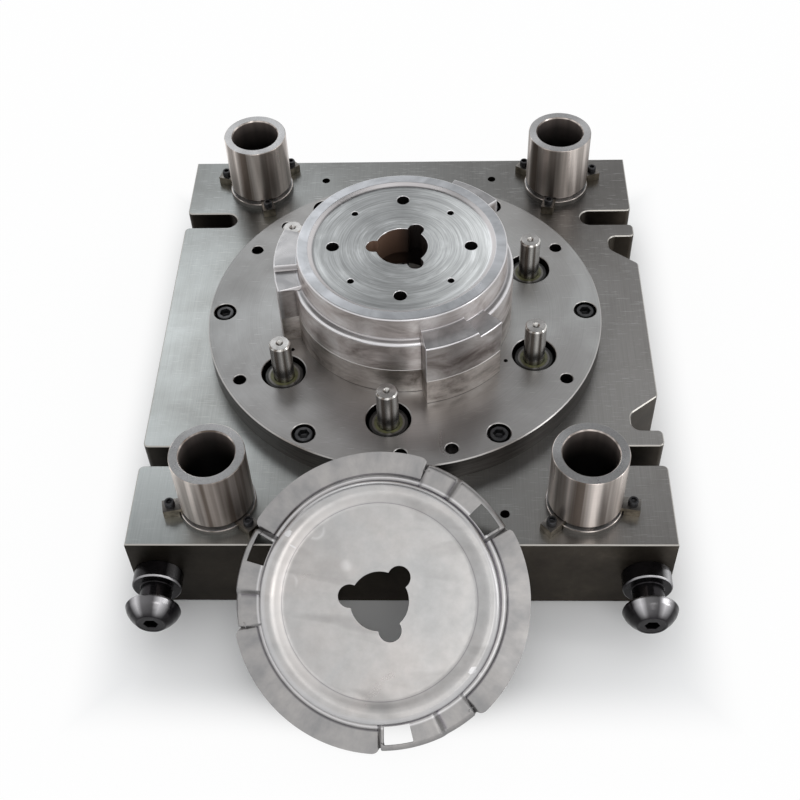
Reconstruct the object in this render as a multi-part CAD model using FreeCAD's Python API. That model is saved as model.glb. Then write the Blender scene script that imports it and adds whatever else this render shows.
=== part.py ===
import FreeCAD, Part
import math
import os

# Lower half of a press die set, in millimetres.
# The origin is the centre of the shoe's underside, +X is to the right, +Y to the back and +Z up.

# Die shoe
SHOE_WIDTH = 480.0
SHOE_DEPTH = 515.0
SHOE_HEIGHT = 93.0
SHOE_CHAMFER = 1.0
SLOT_WIDTH = 22.0
SLOT_DEPTH = 55.0
SLOT_END = 97.0
MOUTH_ROUND = 5.0
NOTCH_DEPTH = 28.0
NOTCH_OUTER_END = 126.5
NOTCH_WAIST_END = 145.5
NOTCH_INNER_END = 167.5
NOTCH_ROUND = 9.0
TAPPED_X = 92.0
TAPPED_END = 32.5
TAPPED_RADIUS = 4.25
TAPPED_DEPTH = 25.0

# Guide bushings, held down by toe clamps
BUSH_SIDE = 78.0
BUSH_END = 44.0
BUSH_RADIUS = 32.8
BUSH_BORE = 24.0
BUSH_RISE = 73.0
BUSH_CHAMFER = 0.9
BUSH_RING_RADIUS = 34.2
BUSH_RING_HEIGHT = 5.5
BUSH_GROOVE_RADIUS = 29.6
BUSH_GROOVE_HEIGHT = 4.6
SPIGOT_RADIUS = 30.0
SPIGOT_LENGTH = 45.0
SPIGOT_RELIEF = 1.0
PIN_HOLE_RADIUS = 26.0
CLAMP_WIDTH = 13.0
CLAMP_LENGTH = 14.0
CLAMP_TOE = 4.0
CLAMP_GAP = 0.4
CLAMP_SCREW = 6.0
CLAMP_ANGLES = {
    "back_left": (43.0, 163.0, 285.0),
    "back_right": (18.0, 145.0, 255.0),
    "front_left": (74.0, 192.0, 318.0),
    "front_right": (106.0, 222.0, 350.0),
}

# Punch plate
PLATE_RADIUS = 192.0
PLATE_HEIGHT = 24.0
PLATE_CHAMFER = 1.0
PLATE_CIRCLE = 176.7
PLATE_SCREW = 12.0
PLATE_SCREW_LENGTH = 36.0
PLATE_SCREW_TURN = 60.0
PLATE_POCKET_GAP = 2.0
PLATE_HOLE_RADIUS = 6.0
DOWEL_RADIUS = 6.0
DOWEL_ANGLES = (135.0, 285.0)
DOWEL_DEPTH = 25.0
DOWEL_SUNK = 15.0
SMALL_HOLE_RADIUS = 2.0
SMALL_HOLE_CIRCLE = 117.5
SMALL_HOLE_TURN = 25.7
HOLE_SINK = 0.6

# Punch: a base block under a form block, both with three lugs
PUNCH_RADIUS = 104.5
PUNCH_BASE_HEIGHT = 30.0
FORM_HEIGHT = 59.0
RIM_RADIUS = 98.0
RIM_ROUND = 1.5
FACE_RADIUS = 85.2
FACE_EDGE = 2.25
FACE_DEPTH = 3.0
SHOULDER_DROP = 25.0
SHOULDER_ROUND = 3.0
LUG_RADIUS = 120.8
LUG_HALF_ANGLE = 19.3
LUG_HIGH_DROP = 16.0
LUG_LOW_DROP = 22.0
LUG_STEP_ANGLE = 6.0
LUG_EDGE_ROUND = 1.5
FACE_HOLE_CIRCLE = 64.4
FACE_HOLE_RADIUS = 6.0
VENT_RADIUS = 3.1
PUNCH_DOWEL_RISE = 13.0
PUNCH_SCREW = 12.0
PUNCH_SCREW_CIRCLE = 84.0
PUNCH_SCREW_GRIP = 21.0
PUNCH_SCREW_TURN = 22.5
PILOT_RADIUS = 24.2
PILOT_LOBE_RADIUS = 7.4
PILOT_LOBE_CIRCLE = 26.0
PILOT_LAND = 30.0
OUTLET_RADIUS = 36.0

# Gas springs, standing in pockets of the shoe
SPRING_CIRCLE = 137.0
SPRING_HALF_ANGLE = 25.0
SPRING_RADIUS = 19.0
SPRING_LENGTH = 90.0
SPRING_SUNK = 5.0
SPRING_POCKET = 21.0
SPRING_STROKE = 44.0
SPRING_CHAMBER = 15.0
SPRING_FLOOR = 8.0
SPRING_SCREW = 8.0
SPRING_SCREW_GRIP = 6.0
GUIDE_HEIGHT = 18.0
WIPER_RADIUS = 13.2
WIPER_HEIGHT = 2.0
WIPER_GAP = 0.3
ROD_RADIUS = 10.0
ROD_CHAMFER = 1.4
ROD_TAP_RADIUS = 2.5
ROD_TAP_DEPTH = 14.0
ROD_TAP_SINK = 1.0
ROD_SPARE = 0.5
PISTON_RADIUS = 14.6
PISTON_HEIGHT = 10.0

# Lifting posts
POST_SIDE = 23.0
POST_COLLAR_RADIUS = 22.0
POST_COLLAR_LENGTH = 16.0
POST_NECK_RADIUS = 14.0
POST_NECK_LENGTH = 19.0
POST_HEAD_RADIUS = 24.5
POST_HEAD_LENGTH = 17.0
POST_WIDEST = 2.2
POST_EDGE = 1.4
POST_END_RADIUS = 12.5
POST_BULGE = 1.6
POST_SOCKET = 12.0
POST_SOCKET_DEPTH = 10.0
POST_STUD_RADIUS = 10.0
POST_STUD_LENGTH = 32.0

# Formed sheet-metal stamping that leans on the shoe's front edge
SHEET = 3.0
FLANGE_RADIUS = 127.8
FLANGE_DROP = 29.0
FLANGE_ROUND = 8.0
STAMPING_CORNER = 5.5
STAMPING_SPIN = -9.6
STAMPING_REACH = 175.0
STAMPING_X = -15.5
STAMPING_GAP = 0.5
STAMPING_HOLE_RADIUS = 24.7
STAMPING_LOBE_RADIUS = 9.7
STAMPING_LOBE_CIRCLE = 25.6
WINDOW_ANGLE = -12.8
WINDOW_INNER = 102.5
WINDOW_DEPTH = 16.8
WINDOW_WIDTH = 23.5
WINDOW_ROUND = 2.5

# Socket-head screws, as parts of their own size, and the room round them
HEAD_RATIO = 0.75
HEX_RATIO = 0.83
HEAD_SUNK = 1.0
TAP_SPARE = 2.0
SCREW_GAP = 0.5

# Fits
THREAD_GAP = 0.05
PRESS_GAP = 0.02
RUNNING_GAP = 0.05

# Places worked out from the sizes above
SHOE_HALF_X = SHOE_WIDTH / 2
SHOE_HALF_Y = SHOE_DEPTH / 2
SLOT_Y = SHOE_HALF_Y - SLOT_END
NOTCH_OUTER_Y = SHOE_HALF_Y - NOTCH_OUTER_END
NOTCH_WAIST_Y = SHOE_HALF_Y - NOTCH_WAIST_END
NOTCH_INNER_Y = SHOE_HALF_Y - NOTCH_INNER_END
TAPPED_Y = SHOE_HALF_Y - TAPPED_END
BUSH_X = SHOE_HALF_X - BUSH_SIDE
BUSH_Y = SHOE_HALF_Y - BUSH_END
POST_X = SHOE_HALF_X - POST_SIDE
STAMPING_SLOPE = math.degrees(math.asin(SHOE_HEIGHT / STAMPING_REACH))
# the sheet's upper side of the face's sloped edge lies this much further in, as a share of the sheet's thickness
FACE_SHIFT = math.tan(math.atan2(FACE_DEPTH, 2 * FACE_EDGE) / 2)
PLATE_TOP = SHOE_HEIGHT + PLATE_HEIGHT
PUNCH_SEAM = PLATE_TOP + PUNCH_BASE_HEIGHT
RIM_TOP = PUNCH_SEAM + FORM_HEIGHT
PUNCH_HEAD_TOP = SHOE_HEIGHT + PUNCH_SCREW + HEAD_SUNK
PLATE_SCREW_SEAT = PLATE_TOP - PLATE_SCREW - HEAD_SUNK
SPRING_SCREW_SEAT = SPRING_SCREW + 2 * HEAD_SUNK
CLAMP_HEIGHT = BUSH_RING_HEIGHT + CLAMP_TOE
CLAMP_SCREW_CIRCLE = BUSH_RING_RADIUS + CLAMP_GAP + CLAMP_LENGTH / 2
CLAMP_SCREW_GRIP = 2 * CLAMP_SCREW
LUG_ANGLES = (60.0, 180.0, 300.0)
PLATE_SCREW_ANGLES = [PLATE_SCREW_TURN * index for index in range(6)]
SPRING_TOP = PLATE_TOP - SPRING_SUNK
POCKET_FLOOR = SPRING_TOP - SPRING_LENGTH
ROD_TOP = SPRING_TOP + SPRING_STROKE + ROD_SPARE
PISTON_TOP = SPRING_TOP - GUIDE_HEIGHT - ROD_SPARE
SPRING_ANGLES = [
    middle + side * SPRING_HALF_ANGLE
    for middle in (0.0, 120.0, 240.0)
    for side in (-1, 1)
]
BUSH_PLACES = {
    "back_left": (-BUSH_X, BUSH_Y),
    "back_right": (BUSH_X, BUSH_Y),
    "front_left": (-BUSH_X, -BUSH_Y),
    "front_right": (BUSH_X, -BUSH_Y),
}
UP = FreeCAD.Vector(0, 0, 1)
CENTRE = FreeCAD.Vector(0, 0, 0)


def on_circle(radius, angle):
    """Point at an angle in degrees on a circle round the origin."""
    turn = math.radians(angle)
    return radius * math.cos(turn), radius * math.sin(turn)


def cylinder(radius, bottom, top, x=0.0, y=0.0):
    """Upright cylinder between two heights."""
    return Part.makeCylinder(radius, top - bottom, FreeCAD.Vector(x, y, bottom))


def cone(bottom_radius, top_radius, bottom, top, x=0.0, y=0.0):
    """Upright cone frustum between two heights."""
    return Part.makeCone(bottom_radius, top_radius, top - bottom, FreeCAD.Vector(x, y, bottom))


def sunk_hole(radius, bottom, top, sink, x=0.0, y=0.0):
    """Hole with a countersunk mouth at its top."""
    return cylinder(radius, bottom, top, x, y).fuse(cone(radius, radius + sink, top - sink, top, x, y))


def rounded_prism(corners, bottom, top):
    """Prism from corner points (x, y, rounding radius), in order round the outline."""
    count = len(corners)
    entries = []
    for index in range(count):
        before = FreeCAD.Vector(corners[index - 1][0], corners[index - 1][1], bottom)
        corner = FreeCAD.Vector(corners[index][0], corners[index][1], bottom)
        after = FreeCAD.Vector(corners[(index + 1) % count][0], corners[(index + 1) % count][1], bottom)
        radius = corners[index][2]
        back = (before - corner).normalize()
        on = (after - corner).normalize()
        half = back.getAngle(on) / 2
        if radius > 0:
            reach = radius / math.tan(half)
            middle = (back + on).normalize()
            nearest = corner + middle * (radius / math.sin(half) - radius)
            entries.append((corner + back * reach, nearest, corner + on * reach))
        else:
            entries.append((corner, None, corner))
    edges = []
    for index in range(count):
        start, nearest, end = entries[index]
        if nearest is not None:
            edges.append(Part.Arc(start, nearest, end).toShape())
        edges.append(Part.LineSegment(end, entries[(index + 1) % count][0]).toShape())
    face = Part.Face(Part.Wire(edges))
    return face.extrude(UP * (top - bottom))


def sector(outer, middle_angle, half_angle, bottom, top):
    """Pie slice of a disc between two heights, about one angle."""
    slice_shape = Part.makeCylinder(outer, top - bottom, FreeCAD.Vector(0, 0, bottom), UP, 2 * half_angle)
    slice_shape.rotate(CENTRE, UP, middle_angle - half_angle)
    return slice_shape


def turned(profile):
    """Solid turned about the Z axis from (radius, height) points."""
    points = [FreeCAD.Vector(radius, 0, height) for radius, height in profile]
    face = Part.Face(Part.makePolygon(points + [points[0]]))
    return face.revolve(CENTRE, UP, 360)


def hex_prism(across, bottom, top):
    """Upright hexagonal prism by its width across flats."""
    corner = across / math.sqrt(3)
    points = [FreeCAD.Vector(*on_circle(corner, 60.0 * index), bottom) for index in range(7)]
    return Part.Face(Part.makePolygon(points)).extrude(UP * (top - bottom))


def socket_screw(size, length):
    """Socket-head cap screw with its head's seat at height 0 and its shank below."""
    shank = size / 2 - THREAD_GAP
    tip = size / 10
    head = size * HEAD_RATIO
    edge = size / 16
    body = turned([
        (0, -length),
        (shank - tip, -length),
        (shank, tip - length),
        (shank, 0),
        (head, 0),
        (head, size - edge),
        (head - edge, size),
        (0, size),
    ])
    return body.cut(hex_prism(size * HEX_RATIO, size / 2, size + 1))


def moved(shape, x, y, z, angle=0.0):
    """Copy of a shape turned about Z and then moved."""
    copy = shape.copy()
    copy.rotate(CENTRE, UP, angle)
    copy.translate(FreeCAD.Vector(x, y, z))
    return copy


def flat_edges(shape, height):
    """Edges that lie in one level plane."""
    return [
        edge for edge in shape.Edges
        if abs(edge.BoundBox.ZMin - height) < 1e-6 and abs(edge.BoundBox.ZMax - height) < 1e-6
    ]


def tri_lobe(radius, lobe_radius, lobe_circle, bottom, top):
    """Round hole with three round lobes, one beside each lug."""
    hole = cylinder(radius, bottom, top)
    for angle in LUG_ANGLES:
        hole = hole.fuse(cylinder(lobe_radius, bottom, top, *on_circle(lobe_circle, angle)))
    return hole.removeSplitter()


def die_shoe():
    """Rectangular shoe with clamping slots, side notches and every seat and pocket."""
    outside = SHOE_HALF_X + SLOT_WIDTH
    body = Part.makeBox(SHOE_WIDTH, SHOE_DEPTH, SHOE_HEIGHT, FreeCAD.Vector(-SHOE_HALF_X, -SHOE_HALF_Y, 0))
    for side in (-1, 1):
        for end in (-1, 1):
            tip = side * (SHOE_HALF_X - SLOT_DEPTH + SLOT_WIDTH / 2)
            low = end * SLOT_Y - SLOT_WIDTH / 2
            slot = cylinder(SLOT_WIDTH / 2, 0, SHOE_HEIGHT, tip, end * SLOT_Y)
            slot = slot.fuse(Part.makeBox(abs(outside - abs(tip)), SLOT_WIDTH, SHOE_HEIGHT,
                                          FreeCAD.Vector(min(tip, side * outside), low, 0)))
            body = body.cut(slot)
    for end in (-1, 1):
        slope = (NOTCH_WAIST_Y - NOTCH_INNER_Y) / NOTCH_DEPTH
        run_out = NOTCH_INNER_Y - slope * SLOT_WIDTH
        notch = rounded_prism([
            (outside, end * run_out, 0),
            (SHOE_HALF_X - NOTCH_DEPTH, end * NOTCH_WAIST_Y, NOTCH_ROUND),
            (SHOE_HALF_X - NOTCH_DEPTH, end * NOTCH_OUTER_Y, NOTCH_ROUND),
            (outside, end * NOTCH_OUTER_Y, 0),
        ], 0, SHOE_HEIGHT)
        body = body.cut(notch)
    body = body.removeSplitter()
    mouths = [
        edge for edge in body.Edges
        if edge.BoundBox.ZLength > SHOE_HEIGHT - 1
        and abs(abs(edge.CenterOfMass.x) - SHOE_HALF_X) < 1e-6
        and abs(edge.CenterOfMass.y) < SHOE_HALF_Y - 1
    ]
    body = body.makeFillet(MOUTH_ROUND, mouths)
    body = body.makeChamfer(SHOE_CHAMFER, flat_edges(body, SHOE_HEIGHT) + flat_edges(body, 0))

    for x, y in BUSH_PLACES.values():
        seat = SHOE_HEIGHT - SPIGOT_LENGTH
        body = body.cut(cylinder(SPIGOT_RADIUS + PRESS_GAP, seat, SHOE_HEIGHT, x, y))
        body = body.cut(cylinder(PIN_HOLE_RADIUS, 0, seat, x, y))
    for name, (x, y) in BUSH_PLACES.items():
        for angle in CLAMP_ANGLES[name]:
            across, along = on_circle(CLAMP_SCREW_CIRCLE, angle)
            body = body.cut(cylinder(CLAMP_SCREW / 2, SHOE_HEIGHT - CLAMP_SCREW_GRIP - TAP_SPARE, SHOE_HEIGHT,
                                     x + across, y + along))
    for x in (-TAPPED_X, TAPPED_X):
        for y in (-TAPPED_Y, TAPPED_Y):
            body = body.cut(cylinder(TAPPED_RADIUS, SHOE_HEIGHT - TAPPED_DEPTH, SHOE_HEIGHT, x, y))
    for angle in SPRING_ANGLES:
        x, y = on_circle(SPRING_CIRCLE, angle)
        body = body.cut(cylinder(SPRING_POCKET, POCKET_FLOOR, SHOE_HEIGHT, x, y))
        body = body.cut(cylinder(SPRING_SCREW / 2 + SCREW_GAP, 0, POCKET_FLOOR, x, y))
        body = body.cut(cylinder(SPRING_SCREW * HEAD_RATIO + SCREW_GAP, 0, SPRING_SCREW_SEAT, x, y))
    for angle in PLATE_SCREW_ANGLES:
        x, y = on_circle(PLATE_CIRCLE, angle)
        tip = PLATE_SCREW_SEAT - PLATE_SCREW_LENGTH
        body = body.cut(cylinder(PLATE_SCREW / 2, tip - TAP_SPARE, SHOE_HEIGHT, x, y))
    for angle in DOWEL_ANGLES:
        x, y = on_circle(PLATE_CIRCLE, angle)
        body = body.cut(cylinder(DOWEL_RADIUS + PRESS_GAP, SHOE_HEIGHT - DOWEL_DEPTH, SHOE_HEIGHT, x, y))
    for x in (-POST_X, POST_X):
        start = FreeCAD.Vector(x, -SHOE_HALF_Y, SHOE_HEIGHT / 2)
        body = body.cut(Part.makeCylinder(POST_STUD_RADIUS, POST_STUD_LENGTH + TAP_SPARE, start,
                                          FreeCAD.Vector(0, 1, 0)))
    return body.cut(cylinder(OUTLET_RADIUS, 0, SHOE_HEIGHT))


def guide_bushing():
    """Bushing with a holding ring, a groove above it and a spigot below."""
    groove_bottom = BUSH_RING_HEIGHT
    groove_top = BUSH_RING_HEIGHT + BUSH_GROOVE_HEIGHT
    relief = BUSH_BORE + SPIGOT_RELIEF
    return turned([
        (relief, -SPIGOT_LENGTH),
        (SPIGOT_RADIUS - BUSH_CHAMFER, -SPIGOT_LENGTH),
        (SPIGOT_RADIUS, BUSH_CHAMFER - SPIGOT_LENGTH),
        (SPIGOT_RADIUS, 0),
        (BUSH_RING_RADIUS, 0),
        (BUSH_RING_RADIUS, groove_bottom - BUSH_CHAMFER),
        (BUSH_RING_RADIUS - BUSH_CHAMFER, groove_bottom),
        (BUSH_GROOVE_RADIUS, groove_bottom),
        (BUSH_GROOVE_RADIUS, groove_top),
        (BUSH_RADIUS - BUSH_CHAMFER, groove_top),
        (BUSH_RADIUS, groove_top + BUSH_CHAMFER),
        (BUSH_RADIUS, BUSH_RISE - BUSH_CHAMFER),
        (BUSH_RADIUS - BUSH_CHAMFER, BUSH_RISE),
        (BUSH_BORE + BUSH_CHAMFER, BUSH_RISE),
        (BUSH_BORE, BUSH_RISE - BUSH_CHAMFER),
        (BUSH_BORE, groove_bottom),
        (relief, groove_bottom - SPIGOT_RELIEF),
    ])


def toe_clamp():
    """Clamp block beside a bushing, along +X, whose toe presses on the ring."""
    near = BUSH_RING_RADIUS + CLAMP_GAP
    half = CLAMP_WIDTH / 2
    block = Part.makeBox(CLAMP_LENGTH, CLAMP_WIDTH, CLAMP_HEIGHT, FreeCAD.Vector(near, -half, 0))
    block = block.makeChamfer(CLAMP_GAP, flat_edges(block, CLAMP_HEIGHT))
    toe_start = BUSH_GROOVE_RADIUS + CLAMP_GAP
    toe = Part.makeBox(near + CLAMP_GAP * 2 - toe_start, CLAMP_WIDTH - CLAMP_GAP * 2, CLAMP_TOE - CLAMP_GAP,
                       FreeCAD.Vector(toe_start, CLAMP_GAP - half, BUSH_RING_HEIGHT))
    hole = cylinder(CLAMP_SCREW / 2 + SCREW_GAP, 0, CLAMP_HEIGHT, CLAMP_SCREW_CIRCLE, 0)
    return block.fuse(toe).cut(hole).removeSplitter()


def clamp_group(x, y, angles):
    """The three toe clamps round one bushing."""
    clamp = toe_clamp()
    return Part.makeCompound([moved(clamp, x, y, SHOE_HEIGHT, angle) for angle in angles])


def clamp_screw_group(x, y, angles):
    """The three screws of one bushing's toe clamps."""
    screw = socket_screw(CLAMP_SCREW, CLAMP_HEIGHT + CLAMP_SCREW_GRIP)
    screw.translate(FreeCAD.Vector(CLAMP_SCREW_CIRCLE, 0, CLAMP_HEIGHT))
    return Part.makeCompound([moved(screw, x, y, SHOE_HEIGHT, angle) for angle in angles])


def punch_plate():
    """Round plate that carries the punch and lets the gas springs stand through it."""
    body = cylinder(PLATE_RADIUS, SHOE_HEIGHT, PLATE_TOP)
    body = body.makeChamfer(PLATE_CHAMFER, flat_edges(body, PLATE_TOP))
    pocket = PLATE_SCREW * HEAD_RATIO + PLATE_POCKET_GAP
    for angle in PLATE_SCREW_ANGLES:
        x, y = on_circle(PLATE_CIRCLE, angle)
        body = body.cut(cylinder(PLATE_SCREW / 2 + SCREW_GAP, SHOE_HEIGHT, PLATE_TOP, x, y))
        body = body.cut(sunk_hole(pocket, PLATE_SCREW_SEAT, PLATE_TOP, HOLE_SINK, x, y))
        x, y = on_circle(PLATE_CIRCLE, angle + PLATE_SCREW_TURN / 2)
        body = body.cut(sunk_hole(PLATE_HOLE_RADIUS, SHOE_HEIGHT, PLATE_TOP, HOLE_SINK, x, y))
    for angle in DOWEL_ANGLES:
        x, y = on_circle(PLATE_CIRCLE, angle)
        body = body.cut(sunk_hole(DOWEL_RADIUS + PRESS_GAP, SHOE_HEIGHT, PLATE_TOP, HOLE_SINK, x, y))
    for angle in SPRING_ANGLES:
        x, y = on_circle(SPRING_CIRCLE, angle)
        body = body.cut(sunk_hole(SPRING_POCKET, SHOE_HEIGHT, PLATE_TOP, HOLE_SINK, x, y))
    for angle in LUG_ANGLES:
        x, y = on_circle(SMALL_HOLE_CIRCLE, angle + SMALL_HOLE_TURN)
        body = body.cut(cylinder(SMALL_HOLE_RADIUS, SHOE_HEIGHT, PLATE_TOP, x, y))
    for x, y in punch_screw_places():
        body = body.cut(cylinder(PUNCH_SCREW / 2 + SCREW_GAP, SHOE_HEIGHT, PLATE_TOP, x, y))
        body = body.cut(cylinder(PUNCH_SCREW * HEAD_RATIO + SCREW_GAP, SHOE_HEIGHT, PUNCH_HEAD_TOP, x, y))
    for x, y in face_hole_places(0.0):
        body = body.cut(cylinder(FACE_HOLE_RADIUS, SHOE_HEIGHT, PLATE_TOP, x, y))
    return body.cut(cylinder(OUTLET_RADIUS, SHOE_HEIGHT, PLATE_TOP))


def punch_screw_places():
    """Six screws from below, clear of the holes in the punch's face."""
    return [on_circle(PUNCH_SCREW_CIRCLE, PUNCH_SCREW_TURN + 60.0 * index) for index in range(6)]


def face_hole_places(first_angle):
    """Four holes a quarter turn apart in the punch's face."""
    return [on_circle(FACE_HOLE_CIRCLE, first_angle + 90.0 * index) for index in range(4)]


def punch_outline(bottom, top):
    """Round block with three lugs, as one upright solid."""
    body = cylinder(PUNCH_RADIUS, bottom, top)
    for angle in LUG_ANGLES:
        body = body.fuse(sector(LUG_RADIUS, angle, LUG_HALF_ANGLE, bottom, top))
    return body.removeSplitter()


def punch_base():
    """Lower block of the punch."""
    body = punch_outline(PLATE_TOP, PUNCH_SEAM)
    for x, y in punch_screw_places():
        body = body.cut(cylinder(PUNCH_SCREW / 2 + SCREW_GAP, PLATE_TOP, PUNCH_SEAM, x, y))
    for x, y in face_hole_places(0.0):
        body = body.cut(cylinder(FACE_HOLE_RADIUS, PLATE_TOP, PUNCH_SEAM, x, y))
    for x, y in face_hole_places(45.0):
        body = body.cut(cylinder(VENT_RADIUS, PLATE_TOP, PUNCH_SEAM, x, y))
    return body.cut(cylinder(OUTLET_RADIUS, PLATE_TOP, PUNCH_SEAM))


def rounded_disc(radius, bottom, top, edge_round):
    """Upright cylinder whose top edge is rounded."""
    disc = cylinder(radius, bottom, top)
    return disc.makeFillet(edge_round, flat_edges(disc, top))


def edge_reaches(edge):
    """Distances of points along an edge from the vertical axis."""
    return [math.hypot(point.x, point.y) for point in edge.discretize(5)]


def outer_corners(shape, radius):
    """Upright edges of a sector at its outer radius."""
    return [
        edge for edge in shape.Edges
        if edge.BoundBox.ZLength > SHEET / 2 and min(edge_reaches(edge)) > radius - 1e-3
    ]


def lugs_with_step(radius, half_angle, bottom, high, low, edge_round, corner_round=0.0):
    """The three lugs, each with a high part and a low part, with the outer edge rounded."""
    pieces = []
    for angle in LUG_ANGLES:
        whole = sector(radius, angle, half_angle, bottom, high)
        if corner_round > 0:
            whole = whole.makeFillet(corner_round, outer_corners(whole, radius))
        step = sector(2 * radius, angle - half_angle, half_angle + LUG_STEP_ANGLE, bottom, high)
        pieces.append(rounded_disc(radius, bottom, low, edge_round).common(whole))
        pieces.append(rounded_disc(radius, bottom, high, edge_round).common(whole).common(step))
    return pieces


def form_block():
    """Upper block of the punch, with the raised rim, the sunk face and the stepped lugs."""
    body = rounded_disc(PUNCH_RADIUS, PUNCH_SEAM, RIM_TOP - SHOULDER_DROP, SHOULDER_ROUND)
    high = RIM_TOP - LUG_HIGH_DROP
    low = RIM_TOP - LUG_LOW_DROP
    for lug in lugs_with_step(LUG_RADIUS, LUG_HALF_ANGLE, PUNCH_SEAM, high, low, LUG_EDGE_ROUND):
        body = body.fuse(lug)
    body = body.fuse(rounded_disc(RIM_RADIUS, PUNCH_SEAM, RIM_TOP, RIM_ROUND))
    face = RIM_TOP - FACE_DEPTH
    sunk = cone(FACE_RADIUS - FACE_EDGE, FACE_RADIUS + FACE_EDGE, face, RIM_TOP)
    body = body.cut(sunk)
    land = face - PILOT_LAND
    body = body.cut(cylinder(OUTLET_RADIUS, PUNCH_SEAM, land))
    body = body.cut(tri_lobe(PILOT_RADIUS, PILOT_LOBE_RADIUS, PILOT_LOBE_CIRCLE, land, RIM_TOP))
    for x, y in face_hole_places(0.0):
        body = body.cut(sunk_hole(FACE_HOLE_RADIUS, PUNCH_SEAM, face, HOLE_SINK / 2, x, y))
    for x, y in face_hole_places(45.0):
        body = body.cut(sunk_hole(VENT_RADIUS, PUNCH_SEAM, face, HOLE_SINK / 2, x, y))
    for x, y in punch_screw_places():
        body = body.cut(cylinder(PUNCH_SCREW / 2, PUNCH_SEAM, PUNCH_SEAM + PUNCH_SCREW_GRIP + TAP_SPARE, x, y))
    return body


def punch_screws():
    """Six screws from under the plate into the form block."""
    screw = socket_screw(PUNCH_SCREW, PUNCH_SEAM + PUNCH_SCREW_GRIP - PUNCH_HEAD_TOP)
    screw.rotate(CENTRE, FreeCAD.Vector(1, 0, 0), 180)
    return Part.makeCompound([moved(screw, x, y, PUNCH_HEAD_TOP) for x, y in punch_screw_places()])


def punch_dowels():
    """Four dowels through the plate and the base, up into the form block."""
    top = PUNCH_SEAM + PUNCH_DOWEL_RISE
    pins = []
    for x, y in face_hole_places(0.0):
        pin = cylinder(FACE_HOLE_RADIUS - PRESS_GAP, SHOE_HEIGHT, top, x, y)
        pins.append(pin.makeChamfer(HOLE_SINK, flat_edges(pin, top)))
    return Part.makeCompound(pins)


def plate_screws():
    """Six screws that hold the punch plate on the shoe."""
    screw = socket_screw(PLATE_SCREW, PLATE_SCREW_LENGTH)
    return Part.makeCompound([
        moved(screw, *on_circle(PLATE_CIRCLE, angle), PLATE_SCREW_SEAT, angle * 2) for angle in PLATE_SCREW_ANGLES
    ])


def plate_dowels():
    """Two dowels between the punch plate and the shoe."""
    top = PLATE_TOP - DOWEL_SUNK
    pins = []
    for angle in DOWEL_ANGLES:
        x, y = on_circle(PLATE_CIRCLE, angle)
        pin = cylinder(DOWEL_RADIUS, SHOE_HEIGHT - DOWEL_DEPTH, top, x, y)
        pins.append(pin.makeChamfer(HOLE_SINK, flat_edges(pin, top)))
    return Part.makeCompound(pins)


def spring_cylinder():
    """Gas spring's pressure body, closed below."""
    chamber = POCKET_FLOOR + SPRING_FLOOR
    body = cylinder(SPRING_RADIUS, POCKET_FLOOR, SPRING_TOP)
    body = body.makeChamfer(ROD_CHAMFER, flat_edges(body, SPRING_TOP) + flat_edges(body, POCKET_FLOOR))
    body = body.cut(cylinder(SPRING_CHAMBER, chamber, SPRING_TOP))
    return body.cut(cylinder(SPRING_SCREW / 2, POCKET_FLOOR, POCKET_FLOOR + SPRING_SCREW_GRIP + 1))


def spring_guide():
    """Guide that closes the pressure body and holds the wiper."""
    bottom = SPRING_TOP - GUIDE_HEIGHT
    body = cylinder(SPRING_CHAMBER - PRESS_GAP, bottom, SPRING_TOP)
    body = body.cut(cylinder(ROD_RADIUS + RUNNING_GAP, bottom, SPRING_TOP))
    return body.cut(cylinder(WIPER_RADIUS + PRESS_GAP, SPRING_TOP - WIPER_HEIGHT, SPRING_TOP))


def spring_wiper():
    """Soft wiper ring round the rod."""
    bottom = SPRING_TOP - WIPER_HEIGHT
    ring = cylinder(WIPER_RADIUS, bottom, SPRING_TOP)
    return ring.cut(cylinder(ROD_RADIUS + WIPER_GAP, bottom, SPRING_TOP))


def spring_rod():
    """Rod with its piston, and a tapped hole in its top."""
    piston_bottom = PISTON_TOP - PISTON_HEIGHT
    rod = turned([
        (0, piston_bottom),
        (PISTON_RADIUS, piston_bottom),
        (PISTON_RADIUS, PISTON_TOP),
        (ROD_RADIUS, PISTON_TOP),
        (ROD_RADIUS, ROD_TOP - ROD_CHAMFER),
        (ROD_RADIUS - ROD_CHAMFER, ROD_TOP),
        (0, ROD_TOP),
    ])
    return rod.cut(sunk_hole(ROD_TAP_RADIUS, ROD_TOP - ROD_TAP_DEPTH, ROD_TOP, ROD_TAP_SINK))


def spring_screws():
    """Six screws from under the shoe, one in each gas spring."""
    screw = socket_screw(SPRING_SCREW, POCKET_FLOOR + SPRING_SCREW_GRIP - SPRING_SCREW_SEAT)
    screw.rotate(CENTRE, FreeCAD.Vector(1, 0, 0), 180)
    return Part.makeCompound([
        moved(screw, *on_circle(SPRING_CIRCLE, angle), SPRING_SCREW_SEAT) for angle in SPRING_ANGLES
    ])


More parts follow.
